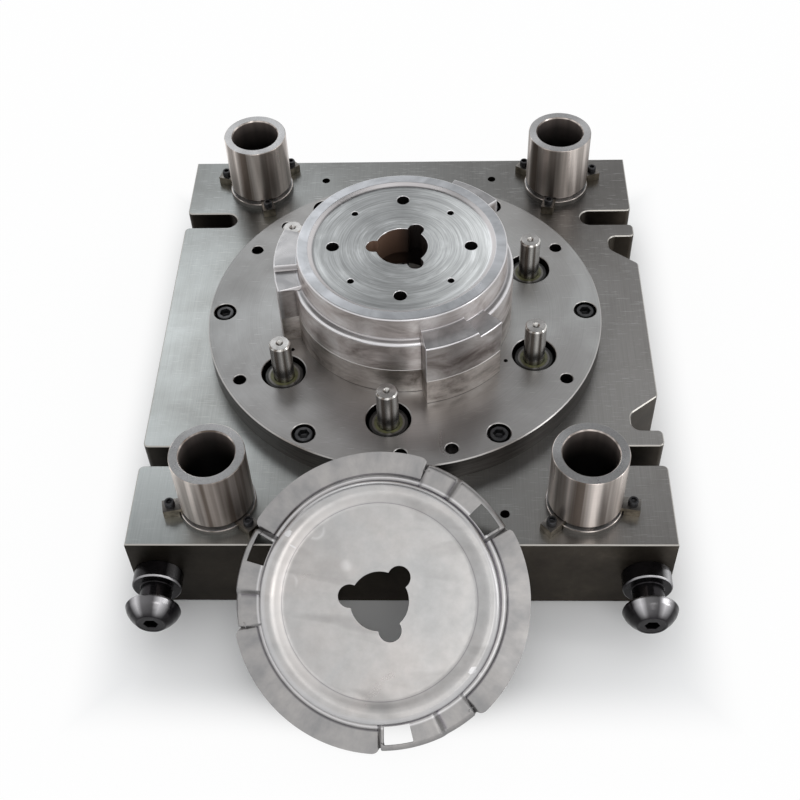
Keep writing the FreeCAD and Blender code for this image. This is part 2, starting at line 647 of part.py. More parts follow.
def lifting_post():
    """Post turned from one bar: stud, collar, neck and mushroom head, along +Z."""
    neck_end = POST_COLLAR_LENGTH + POST_NECK_LENGTH
    head_end = neck_end + POST_HEAD_LENGTH
    widest = neck_end + POST_WIDEST
    stud = POST_STUD_RADIUS - THREAD_GAP
    outline = [
        (0, -POST_STUD_LENGTH),
        (stud, -POST_STUD_LENGTH),
        (stud, 0),
        (POST_COLLAR_RADIUS, 0),
        (POST_COLLAR_RADIUS, POST_COLLAR_LENGTH - POST_EDGE),
        (POST_COLLAR_RADIUS - POST_EDGE, POST_COLLAR_LENGTH),
        (POST_NECK_RADIUS, POST_COLLAR_LENGTH),
        (POST_NECK_RADIUS, neck_end),
        (POST_HEAD_RADIUS - POST_EDGE, neck_end),
        (POST_HEAD_RADIUS, widest),
    ]
    points = [FreeCAD.Vector(radius, 0, height) for radius, height in outline]
    end = FreeCAD.Vector(POST_END_RADIUS, 0, head_end)
    fall = (end - points[-1]).normalize()
    bulge = (points[-1] + end) * 0.5 + FreeCAD.Vector(fall.z, 0, -fall.x) * POST_BULGE
    axis_end = FreeCAD.Vector(0, 0, head_end)
    edges = [Part.LineSegment(a, b).toShape() for a, b in zip(points[:-1], points[1:])]
    edges.append(Part.Arc(points[-1], bulge, end).toShape())
    edges.append(Part.LineSegment(end, axis_end).toShape())
    edges.append(Part.LineSegment(axis_end, points[0]).toShape())
    body = Part.Face(Part.Wire(edges)).revolve(CENTRE, UP, 360)
    return body.cut(hex_prism(POST_SOCKET, head_end - POST_SOCKET_DEPTH, head_end + 1))


def placed_post(x):
    """Post on the shoe's front face, pointing away from it."""
    post = lifting_post()
    post.rotate(CENTRE, FreeCAD.Vector(1, 0, 0), 90)
    post.translate(FreeCAD.Vector(x, -SHOE_HALF_Y, SHOE_HEIGHT / 2))
    return post


def hat(extra):
    """Everything under the sheet's surface, grown by an offset, with the punch's rim top at height 0."""
    bottom = -FLANGE_DROP
    body = rounded_disc(RIM_RADIUS + extra, bottom, extra, RIM_ROUND + extra)
    body = body.fuse(rounded_disc(PUNCH_RADIUS + extra, bottom, extra - SHOULDER_DROP, SHOULDER_ROUND + extra))
    half = LUG_HALF_ANGLE + math.degrees(extra / LUG_RADIUS)
    high = extra - LUG_HIGH_DROP
    low = extra - LUG_LOW_DROP
    corner = STAMPING_CORNER - SHEET + extra
    for lug in lugs_with_step(LUG_RADIUS + extra, half, bottom, high, low, LUG_EDGE_ROUND + extra, corner):
        body = body.fuse(lug)
    inner = FACE_RADIUS - extra * FACE_SHIFT
    sunk = cone(inner - FACE_EDGE, inner + FACE_EDGE, extra - FACE_DEPTH, extra)
    return body.cut(sunk)


def flat_flange():
    """Flat ring in three lengths between the lugs, with rounded outer corners."""
    bottom = -FLANGE_DROP
    top = bottom + SHEET
    pieces = []
    length_half = 60.0 - LUG_HALF_ANGLE - math.degrees(SHEET / LUG_RADIUS)
    for angle in LUG_ANGLES:
        piece = sector(FLANGE_RADIUS, angle + 60.0, length_half, bottom, top)
        piece = piece.makeFillet(FLANGE_ROUND, outer_corners(piece, FLANGE_RADIUS))
        pieces.append(piece.cut(cylinder(PUNCH_RADIUS, bottom, top)))
    return pieces


def sample_stamping():
    """Sheet formed over the punch, leaning on the shoe with its lower edge on the floor."""
    sheet = hat(SHEET).cut(hat(0.0))
    for piece in flat_flange():
        sheet = sheet.fuse(piece)
    sheet = sheet.removeSplitter()
    sheet = sheet.cut(tri_lobe(STAMPING_HOLE_RADIUS, STAMPING_LOBE_RADIUS, STAMPING_LOBE_CIRCLE,
                               -FLANGE_DROP, 2 * SHEET))
    half = WINDOW_WIDTH / 2
    outer = WINDOW_INNER + WINDOW_DEPTH
    window = rounded_prism([
        (WINDOW_INNER, -half, WINDOW_ROUND),
        (outer, -half, WINDOW_ROUND),
        (outer, half, WINDOW_ROUND),
        (WINDOW_INNER, half, WINDOW_ROUND),
    ], -LUG_HIGH_DROP - SHEET, SHEET)
    for angle in LUG_ANGLES:
        sheet = sheet.cut(moved(window, 0, 0, 0, angle + WINDOW_ANGLE))
    sheet.rotate(CENTRE, UP, STAMPING_SPIN)
    sheet.rotate(CENTRE, FreeCAD.Vector(1, 0, 0), STAMPING_SLOPE)
    return sheet


def stamping_place(sheet):
    """Shift that sets the lower edge on the floor and the underside just off the shoe's edge."""
    lift = -sheet.optimalBoundingBox().ZMin
    slope = math.radians(STAMPING_SLOPE)
    under = -FLANGE_DROP - STAMPING_GAP
    edge_y = SHOE_CHAMFER - SHOE_HALF_Y
    # the underside's plane has the normal (0, -sin, cos) and passes just over the shoe's top front edge
    across = edge_y - ((SHOE_HEIGHT - lift) * math.cos(slope) - under) / math.sin(slope)
    return FreeCAD.Vector(STAMPING_X, across, lift)


def build():
    """Every node's shape by name."""
    nodes = {"die_shoe": die_shoe()}
    bushing = guide_bushing()
    for name, (x, y) in BUSH_PLACES.items():
        nodes["guide_bushing_" + name] = moved(bushing, x, y, SHOE_HEIGHT)
        nodes["bushing_clamps_" + name] = clamp_group(x, y, CLAMP_ANGLES[name])
        nodes["bushing_clamp_screws_" + name] = clamp_screw_group(x, y, CLAMP_ANGLES[name])
    nodes["punch_plate"] = punch_plate()
    nodes["plate_screws"] = plate_screws()
    nodes["plate_dowels"] = plate_dowels()
    nodes["punch_base"] = punch_base()
    nodes["form_block"] = form_block()
    nodes["punch_screws"] = punch_screws()
    nodes["punch_dowels"] = punch_dowels()
    spring = {
        "gas_spring_cylinder_": spring_cylinder(),
        "gas_spring_guide_": spring_guide(),
        "gas_spring_wiper_": spring_wiper(),
        "gas_spring_rod_": spring_rod(),
    }
    for number, angle in enumerate(SPRING_ANGLES, 1):
        x, y = on_circle(SPRING_CIRCLE, angle)
        for name, shape in spring.items():
            nodes[name + str(number)] = moved(shape, x, y, 0)
    nodes["gas_spring_screws"] = spring_screws()
    for side, x in (("left", -POST_X), ("right", POST_X)):
        nodes["lifting_post_" + side] = placed_post(x)
    stamping = sample_stamping()
    stamping.translate(stamping_place(stamping))
    nodes["sample_stamping"] = stamping
    return nodes


def main():
    """Writes each node and prints its size."""
    os.makedirs("parts", exist_ok=True)
    for name, shape in build().items():
        box = shape.BoundBox
        print(name, "solids", len(shape.Solids), "valid", shape.isValid(), "volume", round(shape.Volume),
              [round(value, 1) for value in (box.XMin, box.XMax, box.YMin, box.YMax, box.ZMin, box.ZMax)])
        shape.exportStep("parts/" + name + ".step")


main()
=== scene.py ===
from math import cos, degrees, pi, radians, sin, sqrt, tan

import bmesh
import bpy
import numpy as np
from mathutils import Matrix, Vector


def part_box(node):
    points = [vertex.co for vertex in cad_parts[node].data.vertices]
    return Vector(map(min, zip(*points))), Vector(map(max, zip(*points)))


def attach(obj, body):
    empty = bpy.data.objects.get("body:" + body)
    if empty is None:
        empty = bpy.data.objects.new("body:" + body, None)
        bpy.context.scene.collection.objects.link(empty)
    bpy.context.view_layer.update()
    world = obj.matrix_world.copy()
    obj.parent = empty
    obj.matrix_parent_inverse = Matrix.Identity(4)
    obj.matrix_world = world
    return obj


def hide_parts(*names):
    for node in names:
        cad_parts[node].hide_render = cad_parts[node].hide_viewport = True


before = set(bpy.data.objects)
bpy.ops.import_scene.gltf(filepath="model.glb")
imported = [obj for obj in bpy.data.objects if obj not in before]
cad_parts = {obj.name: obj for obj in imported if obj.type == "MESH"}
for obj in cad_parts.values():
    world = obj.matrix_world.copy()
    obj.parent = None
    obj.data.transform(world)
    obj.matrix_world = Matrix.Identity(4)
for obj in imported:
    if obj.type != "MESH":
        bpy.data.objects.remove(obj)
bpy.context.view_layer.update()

# Sizes in millimetres, as in the part; meshes are made in metres
MM = 0.001
SHOE_TOP = 93.0
PLATE_TOP = 117.0
RIM_TOP = 206.0
LUGS = (60.0, 180.0, 300.0)
LUG_HALF = 19.3
LUG_STEP = 6.0
LUG_REACH = 120.8
WALL_REACH = 104.5
SHEET = 3.0
# Three-lobed holes: radius of the middle, radius of the lobes and radius of the lobes' circle
FORM_HOLE = (24.2, 7.4, 26.0)
SHEET_HOLE = (24.7, 9.7, 25.6)
# Each bushing's centre, the turns of its clamps and the turn of its bands of light
BUSHINGS = {
    "back_left": (-162.0, 213.5, (43.0, 163.0, 285.0), 0.0),
    "back_right": (162.0, 213.5, (18.0, 145.0, 255.0), 35.0),
    "front_left": (-162.0, -213.5, (74.0, 192.0, 318.0), 110.0),
    "front_right": (162.0, -213.5, (106.0, 222.0, 350.0), 0.0),
}
CLAMP_SCREW_CIRCLE = 41.6
CLAMP_TOP = 9.5
SPRING_CIRCLE = 137.0
SPRING_TURNS = (-25.0, 25.0, 95.0, 145.0, 215.0, 265.0)
PLATE_CIRCLE = 176.7
WINDOW_TURN = -12.8
COUNTERBORE_DEPTH = 13.0
POSTS = {"left": -217.0, "right": 217.0}
POST_SEAT = -257.5
POST_HEIGHT = 46.5
# A length under TINY counts as none, and points within SAME_PLACE, in metres, count as one
TINY = 1e-6
SAME_PLACE = 1e-7


# Shared shapes

def spot(radius, turn):
    """Point on a circle round the upright axis, the turn in degrees."""
    return radius * cos(radians(turn)), radius * sin(radians(turn))


def vertex(bm, x, y, z):
    """Vertex at a place in millimetres."""
    return bm.verts.new((x * MM, y * MM, z * MM))


def eased(corners, steps=4):
    """Line through (radius, height, rounding) corners, with equal steps in each rounding."""
    support, most_of_side, most_with_support, nearly_straight = 0.2, 0.49, 0.495, 1e-4
    line = []
    for index, (r, z, ease) in enumerate(corners):
        here = Vector((r, z))
        if index in (0, len(corners) - 1) or ease == 0:
            line.append(here)
            continue
        sides = [Vector(corners[index + off][:2]) - here for off in (-1, 1)]
        half = sides[0].angle(sides[1]) / 2
        if abs(half - pi / 2) < nearly_straight:
            line += [here] * (steps + 3)
            continue
        reach = min(ease / tan(half), *(side.length * most_of_side for side in sides))
        back, on = (side.normalized() for side in sides)
        middle = here + (back + on).normalized() * (reach * tan(half) / sin(half))
        start, end = (here + way * reach - middle for way in (back, on))
        sweep = start.angle_signed(end)
        line.append(here + back * min(reach + support, sides[0].length * most_with_support))
        for step in range(steps + 1):
            turned = start.copy()
            turned.rotate(Matrix.Rotation(-sweep * step / steps, 2))
            line.append(middle + turned)
        line.append(here + on * min(reach + support, sides[1].length * most_with_support))
    return line


def as_object(data, name):
    """Object for a mesh, a lamp or a camera, at the origin."""
    piece = bpy.data.objects.new(name, data)
    bpy.context.scene.collection.objects.link(piece)
    return piece


def finished(bm, name, sharp=32.0):
    """Object from a bmesh: outward faces, smooth shading broken at sharp edges."""
    bmesh.ops.recalc_face_normals(bm, faces=bm.faces[:])
    limit = radians(sharp)
    for face in bm.faces:
        face.smooth = True
    for edge in bm.edges:
        edge.smooth = len(edge.link_faces) == 2 and edge.calc_face_angle(0.0) < limit
    mesh = bpy.data.meshes.new(name)
    bm.to_mesh(mesh)
    bm.free()
    return as_object(mesh, name)


def join_rings(bm, one, two):
    """Faces between two rings of as many points."""
    for k in range(len(one)):
        on = (k + 1) % len(one)
        bm.faces.new((one[k], one[on], two[on], two[k]))


def fan(bm, ring, tip, outward):
    """Faces between a ring and a point on its axis."""
    for k in range(len(ring)):
        on = (k + 1) % len(ring)
        bm.faces.new((ring[k], ring[on], tip) if outward else (tip, ring[k], ring[on]))


def turned_body(bm, line, turns=96, ridges=0.0, ridge_span=(0, 0)):
    """Closed skin of a line turned about the Z axis; a point on the axis becomes a pole."""
    rings = []
    for index, (r, z) in enumerate(line):
        if r < TINY:
            rings.append([bm.verts.new((0, 0, z * MM))])
            continue
        ridged = ridges and ridge_span[0] <= index <= ridge_span[1]
        rings.append([vertex(bm, *spot(r - ridges if ridged and k % 2 else r, 360.0 * k / turns), z)
                      for k in range(turns)])
    for low, high in zip(rings[:-1], rings[1:]):
        if len(low) == 1 and len(high) == 1:
            continue
        if len(low) == 1:
            fan(bm, high, low[0], False)
        elif len(high) == 1:
            fan(bm, low, high[0], True)
        else:
            join_rings(bm, low, high)
    return rings


def hex_well(bm, ring, across, top, depth):
    """Hexagonal socket inside a ring of points at the top of a turned body."""
    side, lip, taper, cone = 60.0, 0.35, 0.96, 0.2
    turns = len(ring)
    loops = [ring]
    for z, share in ((top, 1.0), (top - lip, taper), (top - depth, taper)):
        loop = []
        for k in range(turns):
            turn = 360.0 * k / turns
            off = turn % side - side / 2
            loop.append(vertex(bm, *spot(across / 2 / cos(radians(off)) * share, turn), z))
        loops.append(loop)
    for outer, inner in zip(loops[:-1], loops[1:]):
        join_rings(bm, outer, inner)
    fan(bm, loops[-1], vertex(bm, 0, 0, top - depth - across * cone), True)


# Finishes

class Nodes:
    """Short calls for the nodes of a tree."""

    def __init__(self, tree):
        self.tree = tree

    def feed(self, socket, value):
        """Links a node's first output or another output to a socket, or sets a plain value there."""
        if isinstance(value, bpy.types.Node):
            value = value.outputs[0]
        if isinstance(value, bpy.types.NodeSocket):
            self.tree.links.new(value, socket)
        else:
            socket.default_value = value

    def node(self, kind, inputs=None, **settings):
        """A shader node, or one whose kind is told in full, with its settings and inputs."""
        made = self.tree.nodes.new(kind if "Node" in kind else "ShaderNode" + kind)
        for key, value in settings.items():
            setattr(made, key, value)
        for key, value in (inputs or {}).items():
            self.feed(made.inputs[key], value)
        return made

    def vector(self, operation, a, b=(0, 0, 0)):
        return self.node("VectorMath", {0: a, 1: b}, operation=operation)

    def maths(self, operation, a, b=0.0):
        return self.node("Math", {0: a, 1: b}, operation=operation)

    def times(self, first, *others):
        for other in others:
            first = self.maths("MULTIPLY", first, other)
        return first

    def plus(self, a, b):
        return self.maths("ADD", a, b)

    def minus(self, a, b):
        return self.maths("SUBTRACT", a, b)

    def most(self, a, b):
        return self.maths("MAXIMUM", a, b)

    def over(self, a, b):
        return self.maths("GREATER_THAN", a, b)

    def under(self, a, b):
        return self.maths("LESS_THAN", a, b)


class Finish(Nodes):
    """A finish in the making: its material and the patterns that the finishes share."""

    def __init__(self, name):
        self.material = bpy.data.materials.new(name)
        self.material.use_nodes = True
        super().__init__(self.material.node_tree)
        self.steel = self.tree.nodes["Principled BSDF"]
        self.place = self.node("TexCoord")
        self.at = self.place.outputs["Object"]

    def stretched(self, scale, turn=0.0, centre=(0, 0, 0)):
        """Object coordinates in metres, moved to a centre, turned about Z and stretched."""
        moved = self.vector("SUBTRACT", self.at, centre)
        return self.node("Mapping", {"Vector": moved, "Rotation": (0, 0, radians(turn)),
                                               "Scale": scale})

    def noise(self, vector, scale, detail=4.0, rough=0.55, distortion=0.0):
        return self.node("TexNoise", {"Vector": vector, "Scale": scale, "Detail": detail,
                                                "Roughness": rough, "Distortion": distortion}).outputs["Fac"]

    def ramp(self, value, *stops):
        """Colours or greys between places from 0 to 1."""
        made = self.node("ValToRGB", {0: value})
        points = made.color_ramp.elements
        while len(points) < len(stops):
            points.new(0.5)
        for point, (where, colour) in zip(points, stops):
            point.position = where
            point.color = (*colour, 1) if isinstance(colour, tuple) else (colour, colour, colour, 1)
        return made

    def rise(self, value, low, high):
        """0 up to the low place and 1 from the high one."""
        return self.ramp(value, (low, 0.0), (high, 1.0))

    def fall(self, value, low, high):
        """1 up to the low place and 0 from the high one."""
        return self.ramp(value, (low, 1.0), (high, 0.0))

    def tone(self, noise, low, high):
        """From one shade to another over the range that a noise mostly stays in."""
        return self.ramp(noise, (0.3, low), (0.7, high))

    def blend(self, amount, low, high, kind="MIX"):
        made = self.node("Mix", data_type="RGBA", blend_type=kind)
        for number, value in ((0, amount), (6, low), (7, high)):
            self.feed(made.inputs[number], (*value, 1) if isinstance(value, tuple) else value)
        return made.outputs[2]

    def lay(self, amount, colour):
        """Lays a colour over the finish's own, by a share."""
        self.colour = self.blend(amount, self.colour, colour)

    def shade(self, amount, colour, by):
        """The colour multiplied by another."""
        return self.blend(amount, colour, by, "MULTIPLY")

    def facing(self):
        """How much the surface faces up, from -1 to 1, in the piece's own space."""
        return self.node("SeparateXYZ", {0: self.place.outputs["Normal"]}).outputs["Z"]

    def along(self, axis):
        """Place along an axis, in metres."""
        return self.node("SeparateXYZ", {0: self.at}).outputs[axis]

    def level(self, centre=(0, 0, 0)):
        """Level part of the way from an upright axis."""
        return self.vector("MULTIPLY", self.vector("SUBTRACT", self.at, centre), (1, 1, 0))

    def reach(self, centre=(0, 0, 0)):
        """Distance from an upright axis, in metres."""
        return self.node("VectorMath", {0: self.level(centre)}, operation="LENGTH").outputs["Value"]

    def radii(self):
        """Distance from the axis in metres, and for ramps in tenths of a metre and in tenths less a half."""
        out = self.reach()
        tenths = self.times(out, 10.0)
        return out, tenths, self.minus(tenths, 0.5)

    def turned(self, out, across, around, detail=3.0):
        """Noise in rings round the upright axis, broken up along each ring."""
        way = self.vector("NORMALIZE", self.level())
        rise = self.node("CombineXYZ", {2: self.times(out, across)})
        place = self.vector("ADD", self.vector("MULTIPLY", way, (around, around, 0)), rise)
        return self.noise(place, 1.0, detail, 0.6)

    def spread(self, axis, reach):
        """Place along an axis as a share: 0 at minus the reach, 1 at plus the reach, in metres."""
        span = {"Value": self.along(axis), "From Min": -reach, "From Max": reach}
        return self.node("MapRange", span)

    def bend(self):
        """Curvature of the surface: over a half on an outer edge, under it in a corner."""
        return self.node("NewGeometry").outputs["Pointiness"]

    def edges(self):
        """Convex edges, where the finishes lay a painted highlight, 1 on an edge."""
        return self.rise(self.bend(), 0.505, 0.535)

    def painted_shade_creases(self):
        """Inner corners, where the finishes lay painted shade, 1 in a corner."""
        return self.fall(self.bend(), 0.465, 0.495)

    def brushed(self, amount):
        """Stretches highlights across the grinding that runs round the upright axis."""
        quarter_turn = 0.25
        self.steel.inputs["Anisotropic"].default_value = amount
        self.steel.inputs["Anisotropic Rotation"].default_value = quarter_turn
        tangent = self.node("Tangent", direction_type="RADIAL", axis="Z")
        self.feed(self.steel.inputs["Tangent"], tangent)

    def scratches(self, density, thin, turns):
        """Fine long scratches in a few directions, 1 on a scratch."""
        long_and_thin = (9.0, 260.0, 60.0)
        blur = 0.035
        total = None
        for index, turn in enumerate(turns):
            along = self.stretched(long_and_thin, turn, (0.31 * index, 0.17 * index, 0))
            line = self.rise(self.noise(along, density, 2.0, 0.4), thin, thin + blur)
            total = line if total is None else self.most(total, line)
        return total

    def bump(self, height, strength):
        made = self.node("Bump", {"Height": height, "Strength": strength, "Distance": 0.2 * MM})
        self.feed(self.steel.inputs["Normal"], made)

    def by_slope(self, up, wall, chamfer, top, lean=(0.2, 0.3), flat=(0.9, 0.97)):
        """Colour of a machined body: its walls, its chamfers, whose lighter colour is a painted highlight,
        and its level tops.
        """
        return self.blend(self.rise(up, *flat), self.blend(self.rise(up, *lean), wall, chamfer), top)

    def wear(self, colour, rough, metallic=1.0):
        """Puts the finish's results into its material."""
        for name, value in (("Base Color", colour), ("Roughness", rough), ("Metallic", metallic)):
            self.feed(self.steel.inputs[name], value)
        return self.material


def scaled(colour, *shares):
    """A colour multiplied by one share, or by a share for each of red, green and blue."""
    return tuple(c * s for c, s in zip(colour, shares if len(shares) == 3 else shares * 3))


def shoe_steel():
    """Ground top with grinding lines, oil clouds and scratches, painted lighter to the left, darker to the
    back and in bands across; brown sides with painted shade to the left; bright chamfers as a painted
    highlight.
    """
    f = Finish("shoe_ground_steel")
    half_view = 0.3125
    side = f.spread("X", half_view)
    deep = f.spread("Y", half_view)
    cloud = f.noise(f.at, 7.0, 5.0, 0.6, 0.6)
    # Painted light: the top lighter to the left, darker to the back and in bands across it
    top = f.ramp(side, (0.1, (0.44, 0.465, 0.465)), (0.45, (0.3, 0.305, 0.3)), (0.9, (0.285, 0.277, 0.27)))
    top = f.shade(1.0, top, f.ramp(deep, (0.1, 1.15), (0.35, 1.0), (0.55, 0.85), (0.85, 0.55)))
    across = f.times(f.plus(f.minus(side, deep), 1.0), 0.5)
    painted_light_across = f.ramp(across, (0.17, 0.94), (0.33, 0.99), (0.5, 0.92), (0.66, 0.85), (0.82, 1.05))
    top = f.shade(1.0, top, painted_light_across)
    stain = f.ramp(cloud, (0.35, (0.74, 0.72, 0.7)), (0.6, (1.0, 1.0, 1.0)))
    top = f.shade(0.75, top, stain)
    grinding = f.noise(f.stretched((420.0, 5.0, 40.0)), 3.0, 3.0, 0.6)
    top = f.shade(0.35, top, f.tone(grinding, 0.72, 1.15))
    marks = f.scratches(6.0, 0.7, (22.0, 64.0, -48.0))
    top = f.blend(f.times(marks, 0.35), top, (0.62, 0.63, 0.63))
    rust = f.noise(f.at, 16.0, 6.0, 0.65)
    wall = f.ramp(rust, (0.3, (0.028, 0.023, 0.018)), (0.55, (0.055, 0.046, 0.036)),
                  (0.75, (0.1, 0.083, 0.066)))
    # Painted shade: the sides darker to the left
    wall = f.shade(1.0, wall, f.ramp(side, (0.15, 0.5), (0.4, 1.0), (0.9, 1.0)))
    up = f.facing()
    # The chamfers' lighter colour is a painted highlight
    colour = f.by_slope(up, wall, (0.4, 0.385, 0.36), top)
    rough = f.ramp(up, (0.25, 0.5), (0.6, 0.3), (0.97, 0.32))
    f.bump(f.plus(f.times(grinding, 0.6), marks), 0.12)
    return f.wear(colour, f.blend(0.25, rough, f.tone(cloud, 0.55, 0.18)))


def plate_steel():
    """Ground disc with round grinding marks, painted shade that makes it darker to the back and the left and
    lighter to the right, a dark turned edge and a chamfer lighter as a painted highlight.
    """
    f = Finish("plate_ground_steel")
    outwards = f.node("CombineXYZ", {0: f.times(f.reach(), 700.0)})
    rings = f.noise(outwards, 1.0, 3.0, 0.6)
    cloud = f.noise(f.at, 9.0, 5.0, 0.6, 0.8)
    # Painted light: darker to the back, darker to the left and lighter to the right
    top = f.ramp(f.spread("Y", 0.2632), (0.1, (0.3, 0.292, 0.29)), (0.5, (0.31, 0.315, 0.315)),
                 (0.9, (0.235, 0.23, 0.226)))
    top = f.shade(1.0, top, f.ramp(f.spread("X", 0.2), (0.03, 0.64), (0.35, 1.0), (0.95, 1.22)))
    top = f.shade(0.6, top, f.ramp(cloud, (0.36, (0.72, 0.7, 0.69)), (0.62, (1.0, 1.0, 1.0))))
    top = f.shade(0.3, top, f.tone(rings, 0.75, 1.15))
    marks = f.scratches(5.0, 0.71, (40.0, -20.0))
    top = f.blend(f.times(marks, 0.35), top, (0.6, 0.6, 0.6))
    layers = f.noise(f.stretched((30.0, 30.0, 400.0)), 1.0, 4.0)
    wall = f.tone(layers, (0.06, 0.055, 0.05), (0.13, 0.12, 0.115))
    up = f.facing()
    # The chamfer's lighter colour is a painted highlight
    colour = f.by_slope(up, wall, (0.42, 0.41, 0.4), top)
    f.bump(f.plus(f.times(rings, 0.5), marks), 0.1)
    return f.wear(colour, f.blend(0.3, f.ramp(up, (0.25, 0.35), (0.97, 0.3)), f.tone(cloud, 0.5, 0.2)))


def form_steel():
    """Turned punch face with ring marks, polished rims and lugs, brownish milled walls, and painted light:
    the face brighter to the right, round walls lighter than lug walls, highlights on chamfers and edges,
    shade in inner corners and holes, and the bore lit on the left and dark on the right.
    """
    f = Finish("form_turned_steel")
    out, tenths, past = f.radii()
    rings = f.turned(out, 900.0, 1.2)
    arcs = f.turned(out, 150.0, 1.6, 4.0)
    swirl = f.noise(f.stretched((1.0, 1.0, 1.0), 0.0, (0.012, -0.006, 0)), 26.0, 5.0, 0.6, 1.5)
    face = f.ramp(arcs, (0.3, (0.225, 0.232, 0.235)), (0.52, (0.26, 0.268, 0.27)), (0.7, (0.34, 0.35, 0.355)))
    face = f.shade(0.7, face, f.tone(rings, 0.6, 1.3))
    # Painted highlight: the face brighter to the right
    face = f.shade(1.0, face, f.ramp(f.spread("X", 0.085), (0.0, 0.95), (0.5, 0.95), (1.0, 2.2)))
    rim = f.tone(swirl, (0.26, 0.268, 0.28), (0.42, 0.43, 0.455))
    lug = f.tone(swirl, (0.19, 0.19, 0.195), (0.34, 0.335, 0.34))
    top = f.blend(f.rise(tenths, 0.815, 0.87), face, rim)
    top = f.blend(f.over(tenths, 1.0), top, lug)
    blotch = f.noise(f.stretched((14.0, 14.0, 30.0)), 1.6, 5.0, 0.6, 0.5)
    wall = f.ramp(blotch, (0.32, (0.19, 0.16, 0.148)), (0.47, (0.44, 0.4, 0.385)), (0.7, (0.74, 0.71, 0.7)))
    # Painted light: the round walls under the rim and on the shoulder lighter, the lug walls darker
    wall = f.shade(1.0, wall, f.ramp(past, (0.547, 1.42), (0.557, 0.86)))
    up = f.facing()
    # The chamfers' lighter colour is a painted highlight
    f.colour = f.by_slope(up, wall, (0.6, 0.58, 0.585), top, (0.08, 0.3), (0.88, 0.97))
    # Painted highlight on convex edges and painted shade in inner corners, away from the flat tops
    curved = f.times(f.fall(up, 0.985, 0.995), 0.6)
    f.lay(f.times(f.edges(), curved), (0.82, 0.82, 0.84))
    f.lay(f.times(f.painted_shade_creases(), curved), (0.1, 0.085, 0.08))
    # Painted shade: the walls of the holes below the face near black
    sunk = f.times(f.under(f.along("Z"), 0.2025), f.under(out, 0.08))
    f.lay(sunk, (0.05, 0.047, 0.045))
    # The hole's and bore's walls brown, with painted light on the left and painted shadow on the right
    bore = f.times(f.fall(tenths, 0.36, 0.37), f.fall(up, 0.3, 0.6))
    brown_bore_painted_light = f.ramp(f.spread("X", 0.034), (0.2, (0.15, 0.09, 0.062)), (0.42, (0.1, 0.058, 0.04)),
                   (0.6, (0.012, 0.009, 0.008)))
    f.lay(bore, brown_bore_painted_light)
    rough = f.blend(0.35, f.ramp(up, (0.1, 0.4), (0.5, 0.22), (0.95, 0.3)), f.tone(blotch, 0.5, 0.2))
    f.bump(rings, 0.12)
    f.brushed(0.6)
    return f.wear(f.colour, rough, f.minus(1.0, bore))


def base_steel():
    """Milled punch base, browner than the form block above it, with a painted highlight on its upper edges.
    """
    f = Finish("base_milled_steel")
    blotch = f.noise(f.stretched((16.0, 16.0, 26.0)), 1.4, 6.0, 0.62, 0.4)
    mill = f.noise(f.stretched((60.0, 60.0, 500.0)), 1.0, 2.0)
    wall = f.ramp(blotch, (0.32, (0.22, 0.19, 0.17)), (0.48, (0.58, 0.525, 0.49)),
                  (0.7, (0.86, 0.82, 0.785)))
    wall = f.shade(0.3, wall, f.tone(mill, 0.7, 1.2))
    # Painted highlight: the upward-facing edges lighter
    edge = f.rise(f.facing(), 0.2, 0.5)
    colour = f.blend(edge, wall, (0.45, 0.44, 0.43))
    f.bump(mill, 0.1)
    return f.wear(colour, f.tone(blotch, 0.48, 0.3))


def ground_round(name, centre, tint, shine, bands, depths, phase=0.0):
    """Cylinder ground round its own upright axis, with bands of light along it: dark, middle and bright."""
    f = Finish(name)
    along = f.stretched((1.0, 1.0, 1.0), phase, centre)
    rings = f.noise(f.vector("MULTIPLY", along, (6.0, 6.0, 2600.0)), 1.0, 2.0, 0.5)
    f.light = f.noise(f.vector("MULTIPLY", along, (bands, bands, 1.2)), 1.0, 3.0, 0.5)
    dark, middle, bright = (scaled(tint, *depth) for depth in depths)
    colour = f.ramp(f.light, (0.38, dark), (0.5, middle), (0.61, bright))
    colour = f.shade(0.3, colour, f.tone(rings, 0.8, 1.15))
    f.bump(rings, 0.07)
    f.brushed(0.85)
    return f, colour, f.tone(f.light, shine + 0.1, shine)


def with_end_face(f, colour, face):
    """The colour of a round's side, with a duller, grainy end face."""
    grains = f.tone(f.noise(f.at, 700.0, 3.0), 0.8, 1.2)
    return f.blend(f.rise(f.facing(), 0.9, 0.97), colour, f.shade(0.6, face, grains))


def polished_steel(name, centre, tint=(0.6, 0.54, 0.5), shine=0.26, face=(0.34, 0.34, 0.345), bands=62.0):
    """Ground rod or dowel."""
    depths = ((0.36, 0.32, 0.29), (1.0,), (1.45,))
    f, colour, rough = ground_round(name, centre, tint, shine, bands, depths)
    return f.wear(with_end_face(f, colour, face), rough)


